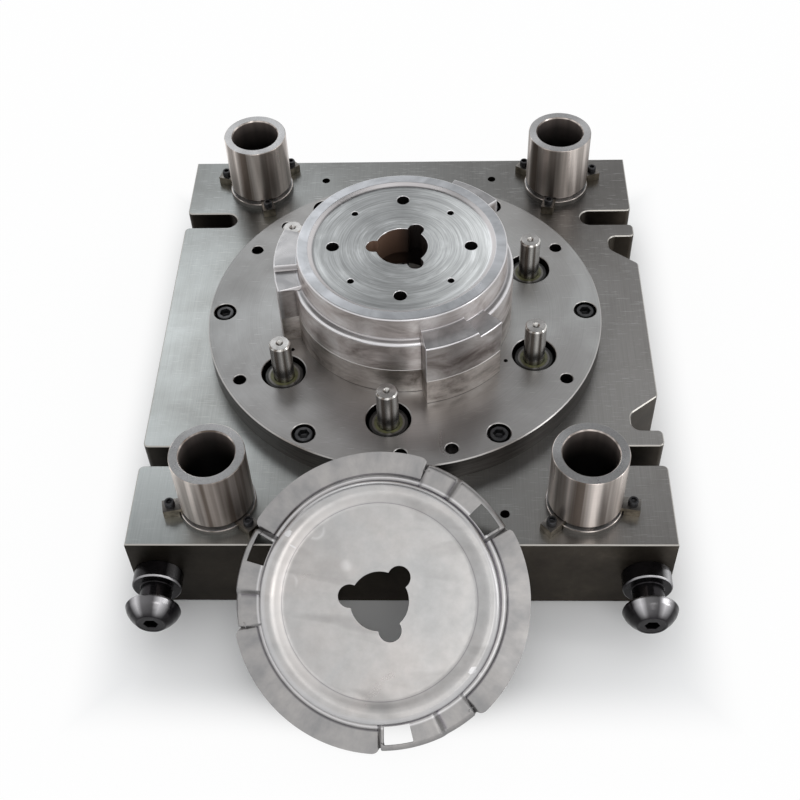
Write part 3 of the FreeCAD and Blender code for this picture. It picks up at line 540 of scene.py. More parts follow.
def bushing_steel(name, centre, phase):
    """Ground bushing with a duller bore, painted darker with depth and in bands of light, and painted shade
    in the groove over its ring and at its foot.
    """
    depths = ((0.216, 0.192, 0.174), (0.75,), (1.45,))
    f, colour, rough = ground_round(name, centre, (0.6, 0.54, 0.5), 0.26, 62.0, depths, phase)
    colour = with_end_face(f, colour, (0.34, 0.34, 0.345))
    out, up, height = f.reach(centre), f.facing(), f.along("Z")
    # Painted shade in the groove over the ring
    ring = f.ramp(f.times(height, 10.0), (0.984, 0.0), (0.986, 1.0), (1.032, 1.0), (1.036, 0.0))
    groove = f.times(ring, f.under(out, 0.0325))
    bore = f.times(f.under(out, 0.0242), f.fall(up, 0.5, 0.7))
    # Painted shade: the bore darker the deeper it goes, its brown tone following the painted bands of light
    depth = f.ramp(f.times(height, 5.0), (0.66, 0.03), (0.76, 0.3), (0.83, 1.0))
    bore_painted_bands = f.ramp(f.light, (0.36, (0.09, 0.075, 0.07)), (0.62, (0.2, 0.165, 0.15)))
    colour = f.blend(bore, colour, f.shade(1.0, bore_painted_bands, depth))
    colour = f.blend(groove, colour, (0.06, 0.055, 0.05))
    # Painted shade at the foot, where the bushing meets the shoe
    foot = f.times(f.under(height, 0.098), f.under(up, 0.5))
    colour = f.blend(foot, colour, (0.17, 0.16, 0.15))
    return f.wear(colour, rough, f.minus(1.0, f.times(bore, 0.75)))


def clamp_steel():
    """Small milled blocks: brownish sides, greyer top and upper eased edges made bright by a painted
    highlight.
    """
    f = Finish("clamp_milled_steel")
    cloud = f.noise(f.at, 120.0, 4.0)
    wall = f.tone(cloud, (0.11, 0.095, 0.072), (0.32, 0.28, 0.22))
    top = f.tone(cloud, (0.1, 0.094, 0.088), (0.22, 0.21, 0.198))
    up = f.facing()
    colour = f.blend(f.rise(up, 0.5, 0.9), wall, top)
    # Painted highlight: the upward eased edges lighter
    colour = f.blend(f.ramp(up, (0.3, 0.0), (0.5, 1.0), (0.85, 1.0), (0.93, 0.0)), colour, (0.7, 0.67, 0.62))
    f.bump(f.noise(f.at, 900.0, 2.0), 0.08)
    return f.wear(colour, f.tone(cloud, 0.42, 0.28))


def black_oxide(name, tint, low, high):
    """Blackened steel, a little rubbed in clouds."""
    f = Finish(name)
    cloud = f.noise(f.at, 60.0, 5.0, 0.6)
    colour = f.ramp(cloud, (0.4, tint), (0.8, tuple(c + 0.04 for c in tint)))
    f.bump(f.noise(f.at, 1500.0, 2.0), 0.015)
    return f.wear(colour, f.tone(cloud, high, low), 0.85)


def post_steel():
    """Oiled black steel of the lifting posts, with painted highlights in streaks over the collar and the head
    and along the collar's edge.
    """
    f = Finish("post_black_steel")
    from_middle = f.along("X")
    ahead = f.times(f.along("Y"), -1.0)
    aside = f.minus(from_middle, f.times(f.maths("SIGN", from_middle), POSTS["right"] * MM))
    high = f.minus(f.along("Z"), POST_HEIGHT * MM)
    out = f.maths("SQRT", f.plus(f.times(aside, aside), f.times(high, high)))
    share = f.times(out, 40.0)
    turns_in_radian = 0.159
    round_about = f.plus(f.times(f.maths("ARCTAN2", aside, high), turns_in_radian), 0.5)
    cloud = f.noise(f.at, 60.0, 5.0, 0.6)
    f.colour = f.ramp(cloud, (0.4, (0.011, 0.01, 0.011)), (0.8, (0.035, 0.032, 0.036)))
    # Painted highlights: two streaks on the head, one on the collar's side and a line along the collar's edge
    streaks = f.ramp(round_about, (0.36, 0.0), (0.42, 0.85), (0.455, 0.2), (0.53, 0.1), (0.575, 0.9),
                     (0.65, 0.0))
    head = f.times(f.over(ahead, 0.29), f.ramp(share, (0.53, 0.0), (0.66, 0.5), (0.9, 1.0)), streaks)
    collar = f.times(f.under(ahead, 0.2725), f.ramp(round_about, (0.58, 0.0), (0.64, 0.7), (0.7, 0.0)))
    edge = f.times(f.over(ahead, 0.2718), f.under(ahead, 0.2738), f.over(out, 0.0209))
    edge = f.times(edge, f.ramp(round_about, (0.3, 0.0), (0.42, 0.45), (0.62, 0.8), (0.75, 0.0)))
    f.lay(f.most(f.most(head, collar), edge), (0.66, 0.65, 0.67))
    f.bump(f.noise(f.at, 1500.0, 2.0), 0.015)
    return f.wear(f.colour, f.tone(cloud, 0.3, 0.16), 0.85)


def sheet_steel(name, tint, spread):
    """Drawn sheet: satin, with faint round spots, warm and cool clouds and a darker, browner flange whose
    darkness is painted shade, darker again to the right; painted highlights on the bead and on bends, painted
    shade in concave bends.
    """
    f = Finish(name)
    f.at = f.node("Attribute", attribute_name="flat").outputs["Vector"]
    out, tenths, past = f.radii()
    cloud = f.noise(f.at, 11.0, 5.0, 0.6, 0.7)
    cool, warm = scaled(tint, 0.94, 0.965, 0.98), scaled(tint, 1.03, 1.0, 0.985)
    f.colour = f.ramp(cloud, (0.32, cool), (0.52, tint), (0.7, warm))
    f.colour = f.shade(0.5, f.colour, f.tone(f.noise(f.at, 75.0, 4.0, 0.65), 0.82, 1.14))
    cells = f.node("TexVoronoi", {"Vector": f.at, "Scale": 23.0, "Randomness": 0.9})
    spots = f.ramp(cells.outputs["Distance"], (0.17, 0.0), (0.2, 1.0), (0.24, 0.0))
    spots = f.times(spots, f.rise(f.noise(f.at, 18.0, 2.0), 0.5, 0.6), f.under(out, 0.078))
    f.lay(f.times(spots, 0.3), (0.8, 0.8, 0.8))
    smear = f.rise(f.noise(f.stretched((5.0, 15.0, 9.0), 30.0), 2.4, 2.0, 0.45, 0.9), 0.54, 0.7)
    f.lay(f.times(smear, 0.45), scaled(tint, 0.55))
    drawn = f.turned(out, 40.0, 7.0, 4.0)
    # Painted shade: the flange darker than the centre, and darker again to the right, over its drawing rings
    flange = f.tone(drawn, scaled(tint, 0.58, 0.59, 0.605), scaled(tint, 0.85, 0.84, 0.835))
    flange = f.shade(1.0, flange, f.ramp(f.spread("X", 0.13), (0.5, 1.0), (0.9, 0.86)))
    beyond = f.rise(past, 0.5, 0.56)
    f.lay(beyond, flange)
    formed = f.over(tenths, 0.8)
    inner = f.times(f.minus(1.0, beyond), formed)
    # Painted highlight along the bead's inner edge, on the left
    left = f.ramp(f.spread("X", 0.1), (0.0, 1.0), (0.3, 0.6), (0.55, 0.0))
    bead = f.times(f.ramp(tenths, (0.82, 0.0), (0.84, 1.0), (0.865, 0.8), (0.93, 0.0)), left)
    f.lay(f.times(bead, 0.45), (0.95, 0.9, 0.87))
    # Painted highlight on convex bends and painted shade in concave ones
    f.lay(f.times(f.edges(), f.times(inner, 0.5)), (0.8, 0.8, 0.82))
    f.lay(f.times(f.painted_shade_creases(), f.times(formed, 0.9)), (0.055, 0.045, 0.065))
    # Painted shade: dark lines where the face bends up into the bead and at the wall's foot
    painted_shade_at_face_bend = f.ramp(tenths, (0.817, 0.0), (0.821, 1.0), (0.826, 0.0))
    painted_shade_at_wall_foot = f.ramp(past, (0.503, 0.0), (0.518, 1.0), (0.535, 0.0))
    line = f.plus(f.times(painted_shade_at_face_bend, 0.6), f.times(painted_shade_at_wall_foot, 0.85))
    f.lay(line, (0.07, 0.06, 0.08))
    # Painted highlight along the flange's root
    root = f.times(f.ramp(past, (0.54, 0.0), (0.55, 1.0), (0.565, 0.0)), f.rise(f.facing(), 0.2, 0.3))
    f.lay(f.times(root, 0.5), (0.85, 0.84, 0.86))
    f.bump(f.noise(f.at, 420.0, 3.0), 0.05)
    return f.wear(f.colour, f.tone(cloud, spread + 0.08, spread - 0.06), 0.92)


def wiper_rubber():
    """Yellow-green polyurethane, dulled by oil."""
    f = Finish("wiper_polyurethane")
    cloud = f.noise(f.at, 160.0, 4.0)
    colour = f.tone(cloud, (0.035, 0.037, 0.016), (0.12, 0.12, 0.045))
    f.bump(cloud, 0.1)
    return f.wear(colour, 0.45, 0.0)


# Pieces

def stand_in(piece, node, body="die_base"):
    """Puts a piece on a body, in the place of a frame node."""
    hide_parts(node)
    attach(piece, body)


def smooth_copy(node, name, finish):
    """Merged copy of a frame node with smooth shading over its turned faces."""
    same_point, sharp = 2e-6, 28.0
    bm = bmesh.new()
    bm.from_mesh(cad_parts[node].data)
    bmesh.ops.remove_doubles(bm, verts=bm.verts[:], dist=same_point)
    stand_in(painted(finished(bm, name, sharp), finish), node)


def placed(piece, x, y, z, tilt=None):
    """Moves a piece's mesh; its object stays at the origin."""
    matrix = Matrix.Translation((x * MM, y * MM, z * MM))
    piece.data.transform(matrix if tilt is None else matrix @ tilt)
    return piece


def bushing(name):
    """Guide bushing: holding ring, undercut groove, ground barrel and bell mouth."""
    bore, relief, spigot, groove, barrel, ring = 24.0, 25.0, 30.0, 29.6, 32.8, 34.2
    foot, ring_top, groove_top, top = -45.0, 5.5, 10.1, 73.0
    bm = bmesh.new()
    line = eased([
        (relief, foot, 0), (spigot - 0.9, foot, 0), (spigot, foot + 0.9, 0), (spigot, 0, 0), (ring, 0, 0),
        (ring, ring_top, 0.9), (groove, ring_top, 0), (groove, groove_top, 0), (barrel, groove_top, 0.9),
        (barrel, top, 0.7), (relief, top, 0.4), (bore, top - 1.4, 0.5), (bore, ring_top, 0),
        (relief, ring_top - 1.0, 0), (relief, foot, 0),
    ], 3)
    turned_body(bm, line, 128)
    bmesh.ops.remove_doubles(bm, verts=bm.verts[:], dist=SAME_PLACE)
    return finished(bm, name)


def toe_clamp_block():
    """Clamp block with a toe on its bushing's ring and eased edges, along +X from the bushing's axis."""
    toe, heel, end, ring_top, half_width, easing = 30.0, 34.6, 48.6, 5.5, 6.5, 0.45
    bm = bmesh.new()
    side = [(toe, ring_top), (heel, ring_top), (heel, 0.0), (end, 0.0), (end, CLAMP_TOP), (toe, CLAMP_TOP)]
    left, right = ([vertex(bm, x, y, z) for x, z in side] for y in (-half_width, half_width))
    bm.faces.new(left)
    bm.faces.new(reversed(right))
    join_rings(bm, left, right)
    bmesh.ops.recalc_face_normals(bm, faces=bm.faces[:])
    bmesh.ops.bevel(bm, geom=bm.edges[:], offset=easing * MM, segments=2, profile=0.7, affect="EDGES")
    return finished(bm, "toe_clamp_block", 50.0)


def socket_head_screw(size, name):
    """Socket head with a knurled side and hex well, its seat at height 0, and a short shank."""
    bm = bmesh.new()
    head, shank, across_flats = size * 0.75, size / 2 - 0.05, size * 0.83
    line = eased([
        (0, -size, 0), (shank - size / 12, -size, 0), (shank, -size * 0.9, 0), (shank, 0, 0),
        (head - 0.15, 0, 0.1), (head, 0.3, 0), (head, size * 0.83, 0), (head - size * 0.02, size * 0.87, 0),
        (head - size * 0.09, size, size / 30), (size * 0.6, size, 0),
    ], 2)
    low = next(k for k, p in enumerate(line) if abs(p.x - head) < TINY)
    rings = turned_body(bm, line, 96, size * 0.022, (low, low + 1))
    hex_well(bm, rings[-1], across_flats, size, size * 0.5)
    return finished(bm, name, 40.0)


def rod(name):
    """Gas-spring rod: chamfered top, tapped centre hole with a thread, and the piston at its foot."""
    foot, piston_top, top = 83.5, 93.5, 156.5
    piston, shaft, chamfer, countersink, crest, root = 14.6, 10.0, 8.7, 3.5, 2.18, 2.5
    pitch, tapped, drilled = 0.8, 9.0, 13.0
    bm = bmesh.new()
    line = [(0, foot, 0), (piston, foot, 0.5), (piston, piston_top, 0.5), (shaft, piston_top, 0),
            (shaft, top - 1.5, 0.4), (chamfer, top, 0.4), (countersink, top, 0.15), (root, top - 1.0, 0)]
    depth = top - 1.4
    while depth > top - tapped:
        line += [(crest, depth, 0), (root, depth - pitch / 2, 0)]
        depth -= pitch
    line += [(root, top - drilled, 0), (0, top - drilled - 1.0, 0)]
    turned_body(bm, eased(line, 3), 72)
    return finished(bm, name, 35.0)


def post(name):
    """Lifting post along +Z: stud, collar, neck and conical head with a hex well."""
    stud, collar, neck, head, end = 9.95, 22.0, 14.0, 24.5, 11.6
    stud_end, collar_top, neck_top, top = -32.0, 16.0, 35.0, 52.0
    across_flats, well_depth = 12.0, 9.0
    bm = bmesh.new()
    line = eased([
        (0, stud_end, 0), (stud - 0.95, stud_end, 0), (stud, stud_end + 1, 0), (stud, 0, 0), (collar, 0, 0.5),
        (collar, collar_top - 1.3, 1.4), (collar - 1.4, collar_top, 0.5), (neck, collar_top, 1.2),
        (neck, neck_top, 1.5), (head - 1.2, neck_top, 0.8), (head, 37.2, 1.4), (22.4, 42.4, 9.0),
        (18.6, 47.2, 8.0), (13.2, 51.9, 1.2), (end, top, 0.4), (end - 0.4, top - 0.3, 0), (8.4, top - 0.3, 0),
    ], 5)
    rings = turned_body(bm, line)
    hex_well(bm, rings[-1], across_flats, top - 0.4, well_depth)
    return finished(bm, name, 30.0)


def hole_reach(turn, round_radius, lobe_radius, lobe_circle):
    """Reach of the three-lobed hole's outline at a turn in degrees."""
    best = round_radius
    for lug in LUGS:
        off = radians((turn - lug + 180.0) % 360.0 - 180.0)
        inside = lobe_radius ** 2 - (lobe_circle * sin(off)) ** 2
        if abs(off) < pi / 2 and inside > 0:
            best = max(best, lobe_circle * cos(off) + sqrt(inside))
    return best


def turn_list(marks, step=1.5):
    """Sorted turns round the circle: even steps, and offsets from marks that repeat at each lug."""
    closest = 0.02
    turns = {round(k * step, 4) for k in range(int(round(360 / step)))}
    for lug in LUGS:
        for mark, offsets in marks:
            turns |= {round((lug + mark + off) % 360.0, 4) for off in offsets}
    kept = []
    for turn in sorted(turns):
        if not kept or turn - kept[-1] > closest:
            kept.append(turn)
    return kept


def smooth_step(value):
    """0 below 0, 1 above 1 and a soft rise between them."""
    value = min(1.0, max(0.0, value))
    return value * value * (3 - 2 * value)


def from_lug(turn):
    """Turn from the nearest lug's middle, from -60 to 60."""
    return turn % 120.0 - 60.0


def shape_weights(turn, half, slope, step_slope):
    """Shares of the round, high-lug and low-lug outlines at a turn."""
    off = from_lug(turn)
    lug = smooth_step((half + slope / 2 - abs(off)) / slope)
    low = smooth_step((off - LUG_STEP + step_slope / 2) / step_slope)
    return 1 - lug, lug * (1 - low), lug * low


def mixed(lines, weights):
    """Line between several lines, by their shares."""
    return [sum((line[k] * w for line, w in zip(lines, weights)), Vector((0, 0)))
            for k in range(len(lines[0]))]


EDGE_OFFSETS = [0.15 * k for k in range(-5, 6)]
LUG_SIDES = [(-LUG_HALF, EDGE_OFFSETS), (LUG_HALF, EDGE_OFFSETS)]


def hole_ring(bm, x, y, radius, z, turns=40):
    """Ring of points round a hole's middle."""
    around = [spot(radius, 360.0 * k / turns) for k in range(turns)]
    return [vertex(bm, x + a, y + b, z) for a, b in around]


def loft(bm, columns):
    """Faces between columns of points that stand in a circle."""
    for k, column in enumerate(columns):
        join = columns[(k + 1) % len(columns)]
        for a in range(len(column) - 1):
            bm.faces.new((column[a], join[a], join[a + 1], column[a + 1]))


def close_edges(bm, ring):
    """Edges of a ring of points, made where there are none yet."""
    pairs = [(ring[k], ring[(k + 1) % len(ring)]) for k in range(len(ring))]
    return [bm.edges.get(pair) or bm.edges.new(pair) for pair in pairs]


def form_outline(shelf, reach, foot, edge):
    """Outline from the sunk face over the rim and the shelf to the seam, down from the rim's top."""
    face, rim_inside, rim, seam, bore, bore_top = -3.0, 87.6, 98.0, -59.0, 36.0, -33.0
    return eased([
        (80.0, face, 0), (83.4, face, 7.0), (rim_inside, 0.0, 1.0), (rim, 0.0, 1.5), (rim, shelf, foot),
        (reach, shelf, edge), (reach, seam + 0.4, 0.2), (reach - 0.4, seam, 0), (bore, seam, 0),
        (bore, bore_top, 0),
    ], 5)


def form_block():
    """Upper punch block lofted round the axis: sunk face, raised rim, shoulder and three stepped lugs."""
    bm = bmesh.new()
    lines = [form_outline(-25.0, WALL_REACH, 2.2, 3.0)]
    lines += [form_outline(shelf, LUG_REACH, 1.6, 1.5) for shelf in (-16.0, -22.0)]
    lobe_turns = (-16.5, -16.0, -15.5, -14.5, -13.0, 13.0, 14.5, 15.5, 16.0, 16.5)
    bore_top, lip_foot, face, lip = RIM_TOP - 33.0, RIM_TOP - 3.4, RIM_TOP - 3.0, 0.35
    columns = []
    for turn in turn_list(LUG_SIDES + [(LUG_STEP, EDGE_OFFSETS), (0.0, lobe_turns)]):
        line = mixed(lines, shape_weights(turn, LUG_HALF, 0.9, 1.3))
        column = [vertex(bm, *spot(r, turn), RIM_TOP + z) for r, z in line]
        r = hole_reach(turn, *FORM_HOLE)
        column += [vertex(bm, *spot(r, turn), z) for z in (bore_top, lip_foot)]
        columns.append(column + [vertex(bm, *spot(r + lip, turn), face)])
    loft(bm, columns)
    edges = [edge for end in (0, -1) for edge in close_edges(bm, [column[end] for column in columns])]
    hole_circle, dowel, dowel_depth, tapped, tapped_depth = 64.4, 6.0, 43.5, 3.1, 52.0
    holes = [(*spot(hole_circle, 90.0 * k), dowel, dowel_depth) for k in range(4)]
    holes += [(*spot(hole_circle, 45 + 90.0 * k), tapped, tapped_depth) for k in range(4)]
    for x, y, radius, depth in holes:
        mouth = hole_ring(bm, x, y, radius + lip, face)
        neck = hole_ring(bm, x, y, radius, face - lip)
        foot = hole_ring(bm, x, y, radius, face - depth)
        join_rings(bm, mouth, neck)
        join_rings(bm, neck, foot)
        bm.faces.new(foot)
        edges += close_edges(bm, mouth)
    bmesh.ops.triangle_fill(bm, use_beauty=True, edges=edges, normal=(0, 0, 1))
    return finished(bm, "form", 30.0)


def punch_base():
    """Lower punch block: the same outline, with its edges broken at the seam and at the plate."""
    bm = bmesh.new()
    inside, height, round_off = 60.0, 30.0, 0.2

    def outline(reach):
        return eased([
            (inside, height, 0), (reach - 0.4, height, 0), (reach, height - 0.4, round_off),
            (reach, 0.5, round_off), (reach - 0.5, 0.0, 0), (inside, 0.0, 0), (inside, height, 0),
        ], 2)

    lines = [outline(WALL_REACH), outline(LUG_REACH), outline(LUG_REACH)]
    columns = []
    for turn in turn_list(LUG_SIDES):
        line = mixed(lines, shape_weights(turn, LUG_HALF, 0.9, 0.9))
        columns.append([vertex(bm, *spot(r, turn), PLATE_TOP + z) for r, z in line])
    loft(bm, columns)
    bmesh.ops.remove_doubles(bm, verts=bm.verts[:], dist=SAME_PLACE)
    return finished(bm, "base", 30.0)


def rounded_end(reach, corner, inside):
    """Reach of an arc-shaped edge at a distance from its end, where its corner is rounded."""
    if inside >= corner:
        return reach
    return reach - corner + sqrt(corner ** 2 - (corner - max(inside, 0.0)) ** 2)


def sheet_outline(shelf, reach, foot, edge, ease):
    """Outline of the sheet's outer face: flat centre, bead, wall, shelf and flange."""
    bead, wall = 3.0, 101.0
    return eased([
        (30.0, 0.0, 0), (82.0, 0.0, 14.0), (90.0, bead, 16.0), (wall, bead, 6.5), (wall, shelf, 2.4),
        (reach, shelf, ease), (reach, foot, 2.0), (edge, foot - 0.001, 0),
    ], 6)


def sheet_turns(half, window_half):
    """Turns of the sheet's columns: closer at the sides and steps of the lugs and at the windows."""
    soft, outside, inside = 1.35, (1.2, 1.6, 2.1, 2.7, 3.3, 4.0), (1.3, 1.6, 2.0, 2.5, 3.0)
    marks = []
    for side in (-1, 1):
        offsets = [off * soft for off in EDGE_OFFSETS]
        offsets += [side * off for off in outside] + [-side * off for off in inside]
        marks.append((side * half, offsets))
    marks.append((LUG_STEP, [off * 2.0 for off in EDGE_OFFSETS]))
    from_edge = (0.0, 0.12, 0.45, 1.0, 2.6)
    marks.append((WINDOW_TURN, [side * (window_half - off) for side in (-1, 1) for off in from_edge]))
    return turn_list(marks, 1.25)


def sheet_columns(turns, half, shares_inside):
    """Points of the sheet's outer face, from the hole to the flange's edge, at each turn."""
    lug_slope, step_slope, flat_end, lug_reach, flange = 2.0, 3.0, 78.6, 123.8, 127.8
    columns = []
    for turn in turns:
        off = from_lug(turn)
        reach = rounded_end(lug_reach, 5.5, radians(half + lug_slope / 2 - abs(off)) * lug_reach)
        edge = rounded_end(flange, 8.0, radians(abs(off) - half + 0.3) * flange)
        lines = [sheet_outline(-22.0, 107.5, -26.0, edge, 4.0)]
        lines += [sheet_outline(shelf, reach, -28.9, reach + 0.1, 4.5) for shelf in (-13.0, -19.0)]
        line = mixed(lines, shape_weights(turn, half, lug_slope, step_slope))
        hole = hole_reach(turn, *SHEET_HOLE)
        line = [Vector((hole + (flat_end - hole) * share, 0.0)) for share in shares_inside] + line[1:]
        line[-1:] = [line[-2].lerp(line[-1], share) for share in (0.33, 0.66)] + [line[-1]]
        columns.append([(*spot(r, turn), z) for r, z in line])
    return columns


def stamping_sheet():
    """Formed sheet: flat centre, bead, stepped wall, three lugs with windows and a flange between them."""
    bm = bmesh.new()
    half = LUG_HALF + degrees(SHEET / LUG_REACH)
    window_half = 6.1
    shares_inside = (0.0, 0.02, 0.1, 0.25, 0.45, 0.7)
    turns = sheet_turns(half, window_half)

    # A lug's shelf is cut finer between the wall and the outer round, so that the window's edges fall on it
    window_radii, even_shares = (103.8, 105.0, 117.5, 118.9), (0.02, 0.1, 0.9, 0.98)
    roundings, points_in_rounding, narrowest_lug = 4, 9, 12.0
    shelf_at = len(shares_inside) + roundings * points_in_rounding - 1
    rows = []
    for column in sheet_columns(turns, half, shares_inside):
        a, b = np.array(column[shelf_at]), np.array(column[shelf_at + 1])
        ra, rb = np.hypot(*a[:2]), np.hypot(*b[:2])
        shares = even_shares if rb - ra < narrowest_lug else [(r - ra) / (rb - ra) for r in window_radii]
        column[shelf_at + 1:shelf_at + 1] = [tuple(a + (b - a) * share) for share in shares]
        rows.append([bm.verts.new([c * MM for c in point]) for point in column])
    for k, row in enumerate(rows):
        on = (k + 1) % len(rows)
        off = abs(from_lug((turns[k] + (turns[on] if on else 360.0)) / 2) - WINDOW_TURN)
        for a in range(len(row) - 1):
            if off < window_half and shelf_at + 1 <= a < shelf_at + 4:
                continue
            bm.faces.new((row[a], rows[on][a], rows[on][a + 1], row[a + 1]))
    bm.normal_update()
    piece = finished(bm, "stamping", 60.0)
    if sum(face.normal.z * face.area for face in piece.data.polygons) < 0:
        piece.data.flip_normals()
    thick = piece.modifiers.new("sheet", "SOLIDIFY")
    thick.thickness = SHEET * MM
    thick.offset = -1.0
    thick.use_even_offset = False
    thick.material_offset_rim = 1
    baked(piece)
    flat = piece.data.attributes.new("flat", "FLOAT_VECTOR", "POINT")
    places = np.empty(len(piece.data.vertices) * 3)
    piece.data.vertices.foreach_get("co", places)
    flat.data.foreach_set("vector", places)
    return piece


def baked(piece):
    """The same object with its modifiers made part of a plain mesh."""
    graph = bpy.context.evaluated_depsgraph_get()
    mesh = bpy.data.meshes.new_from_object(piece.evaluated_get(graph))
    old = piece.data
    piece.modifiers.clear()
    piece.data = mesh
    bpy.data.meshes.remove(old)
    return piece


def set_down(piece, node):
    """Moves a mesh so that its box has the same middle and foot as a frame node's."""
    low, high = (np.array(corner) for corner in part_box(node))
    points = np.array([v.co for v in piece.data.vertices])
    shift = (low + high) / 2 - (points.min(0) + points.max(0)) / 2
    shift[2] = low[2] - points[:, 2].min()
    piece.data.transform(Matrix.Translation(shift))


# Setting out of repeated pieces

def setting_out_tree():
    """Tree that puts a copy of the master piece on every point, turned, lifted and with its finish."""
    tree = bpy.data.node_groups.new("setting_out", "GeometryNodeTree")
    for name, way, kind in (("Places", "INPUT", "Geometry"), ("Master Piece", "INPUT", "Object"),
                            ("Lift", "INPUT", "Float"), ("Finish", "INPUT", "Material"),
                            ("Pieces", "OUTPUT", "Geometry")):
        tree.interface.new_socket(name, in_out=way, socket_type="NodeSocket" + kind)
    n = Nodes(tree)
    given = n.node("NodeGroupInput").outputs
    master = n.node("GeometryNodeObjectInfo", {"Object": given["Master Piece"]})
    turn = n.node("GeometryNodeInputNamedAttribute", {"Name": "turn"}, data_type="FLOAT")
    spin = n.node("CombineXYZ", {"Z": turn.outputs["Attribute"]})
    raised = n.node("CombineXYZ", {"Z": given["Lift"]})
    shift = n.node("GeometryNodeSetPosition", {"Geometry": given["Places"], "Offset": raised})
    copies = n.node("GeometryNodeInstanceOnPoints", {
        "Points": shift, "Instance": master.outputs["Geometry"], "Rotation": spin})
    real = n.node("GeometryNodeRealizeInstances", {0: copies})
    paint = n.node("GeometryNodeSetMaterial", {"Geometry": real, "Material": given["Finish"]})
    n.node("NodeGroupOutput", {"Pieces": paint})
    return tree


def set_out(name, tree, master, places, lift, finish, node):
    """One plain mesh of the master on every (x, y, turn) place, in the place of a frame node."""
    mesh = bpy.data.meshes.new(name)
    mesh.from_pydata([(x * MM, y * MM, 0.0) for x, y, turn in places], [], [])
    turns = mesh.attributes.new("turn", "FLOAT", "POINT")
    turns.data.foreach_set("value", [radians(turn) for x, y, turn in places])
    piece = as_object(mesh, name)
    modifier = piece.modifiers.new("setting out", "NODES")
    modifier.node_group = tree
    sockets = {item.name: item.identifier for item in tree.interface.items_tree if item.in_out == "INPUT"}
    for socket, value in (("Master Piece", master), ("Lift", lift * MM), ("Finish", finish)):
        modifier[sockets[socket]] = value
    stand_in(baked(piece), node)


def painted(piece, *finishes):
    """The same piece with its finishes."""
    piece.data.materials.clear()
    for finish in finishes:
        piece.data.materials.append(finish)
    return piece


def set_out_bushings(tree, black):
    """Guide bushings at the four corners, each with its clamps and their screws."""
    well_turn = 1.7
    clamp_finish = clamp_steel()
    clamp = toe_clamp_block()
    screw = socket_head_screw(6.0, "screw_master_small")
    for corner, (x, y, turns, phase) in BUSHINGS.items():
        finish = bushing_steel("bushing_ground_" + corner, (x * MM, y * MM, 0.0), phase)
        piece = painted(placed(bushing("bushing_" + corner), x, y, SHOE_TOP), finish)
        stand_in(piece, "guide_bushing_" + corner)
        places = [(x, y, turn) for turn in turns]
        set_out("clamps_" + corner, tree, clamp, places, SHOE_TOP, clamp_finish, "bushing_clamps_" + corner)
        ways = [spot(CLAMP_SCREW_CIRCLE, turn) for turn in turns]
        heads = [(x + a, y + b, turn * well_turn) for (a, b), turn in zip(ways, turns)]
        set_out("clamp_screws_" + corner, tree, screw, heads, SHOE_TOP + CLAMP_TOP, black,
                "bushing_clamp_screws_" + corner)
    for master in (clamp, screw):
        bpy.data.objects.remove(master)


def set_out_gas_springs():
    """Six gas springs: rods on their own bodies, and what stays in the shoe."""
    coats = {"cylinder": black_oxide("spring_body_black", (0.03, 0.03, 0.03), 0.3, 0.5),
             "guide": black_oxide("spring_guide_grey", (0.12, 0.115, 0.11), 0.25, 0.4),
             "wiper": wiper_rubber()}
    for number, turn in enumerate(SPRING_TURNS, 1):
        x, y = spot(SPRING_CIRCLE, turn)
        chrome = polished_steel(f"rod_chrome_{number}", (x * MM, y * MM, 0.0), (0.46, 0.45, 0.435), 0.18,
                                (0.3, 0.295, 0.29), 190.0)
        piece = painted(placed(rod(f"rod_{number}"), x, y, 0.0), chrome)
        node = f"gas_spring_rod_{number}"
        stand_in(piece, node, node)
        for part, coat in coats.items():
            smooth_copy(f"gas_spring_{part}_{number}", f"spring_{part}_{number}", coat)


def lean_stamping():
    """The sample stamping, leaning on the shoe's front edge."""
    lean, own_turn = 32.1, -9.6
    sheet = painted(stamping_sheet(), sheet_steel("sheet_drawn_steel", (0.43, 0.42, 0.415), 0.32),
                    sheet_steel("sheet_cut_edge", (0.42, 0.41, 0.4), 0.3))
    sheet.data.transform(Matrix.Rotation(radians(lean), 4, "X")
                         @ Matrix.Rotation(radians(own_turn), 4, "Z"))
    set_down(sheet, "sample_stamping")
    stand_in(sheet, "sample_stamping", "sample_stamping")


def build_die_set():
    """Every visible piece, on its body, in the place of its frame node."""
    tree = setting_out_tree()
    black = black_oxide("screw_black_oxide", (0.04, 0.04, 0.043), 0.28, 0.45)
    smooth_copy("die_shoe", "shoe", shoe_steel())
    smooth_copy("punch_plate", "plate", plate_steel())
    stand_in(painted(form_block(), form_steel()), "form_block")
    stand_in(painted(punch_base(), base_steel()), "punch_base")
    set_out_bushings(tree, black)

    screw = socket_head_screw(12.0, "screw_master_plate")
    well_turn = 47.0
    heads = [(*spot(PLATE_CIRCLE, 60.0 * k), well_turn * k) for k in range(6)]
    set_out("plate_screw_heads", tree, screw, heads, PLATE_TOP - COUNTERBORE_DEPTH, black, "plate_screws")
    bpy.data.objects.remove(screw)
    set_out_gas_springs()

    post_finish = post_steel()
    forwards = Matrix.Rotation(radians(90.0), 4, "X")
    for side, x in POSTS.items():
        piece = placed(painted(post("post_" + side), post_finish), x, POST_SEAT, POST_HEIGHT, forwards)
        stand_in(piece, "lifting_post_" + side)
    lean_stamping()

    hidden = {"plate_dowels": polished_steel("dowel_ground", (0, 0, 0)),
              "punch_dowels": polished_steel("punch_dowel_ground", (0, 0, 0)),
              "punch_screws": black, "gas_spring_screws": black}
    for node, finish in hidden.items():
        smooth_copy(node, node.replace("_", "-"), finish)


# Floor, light and camera

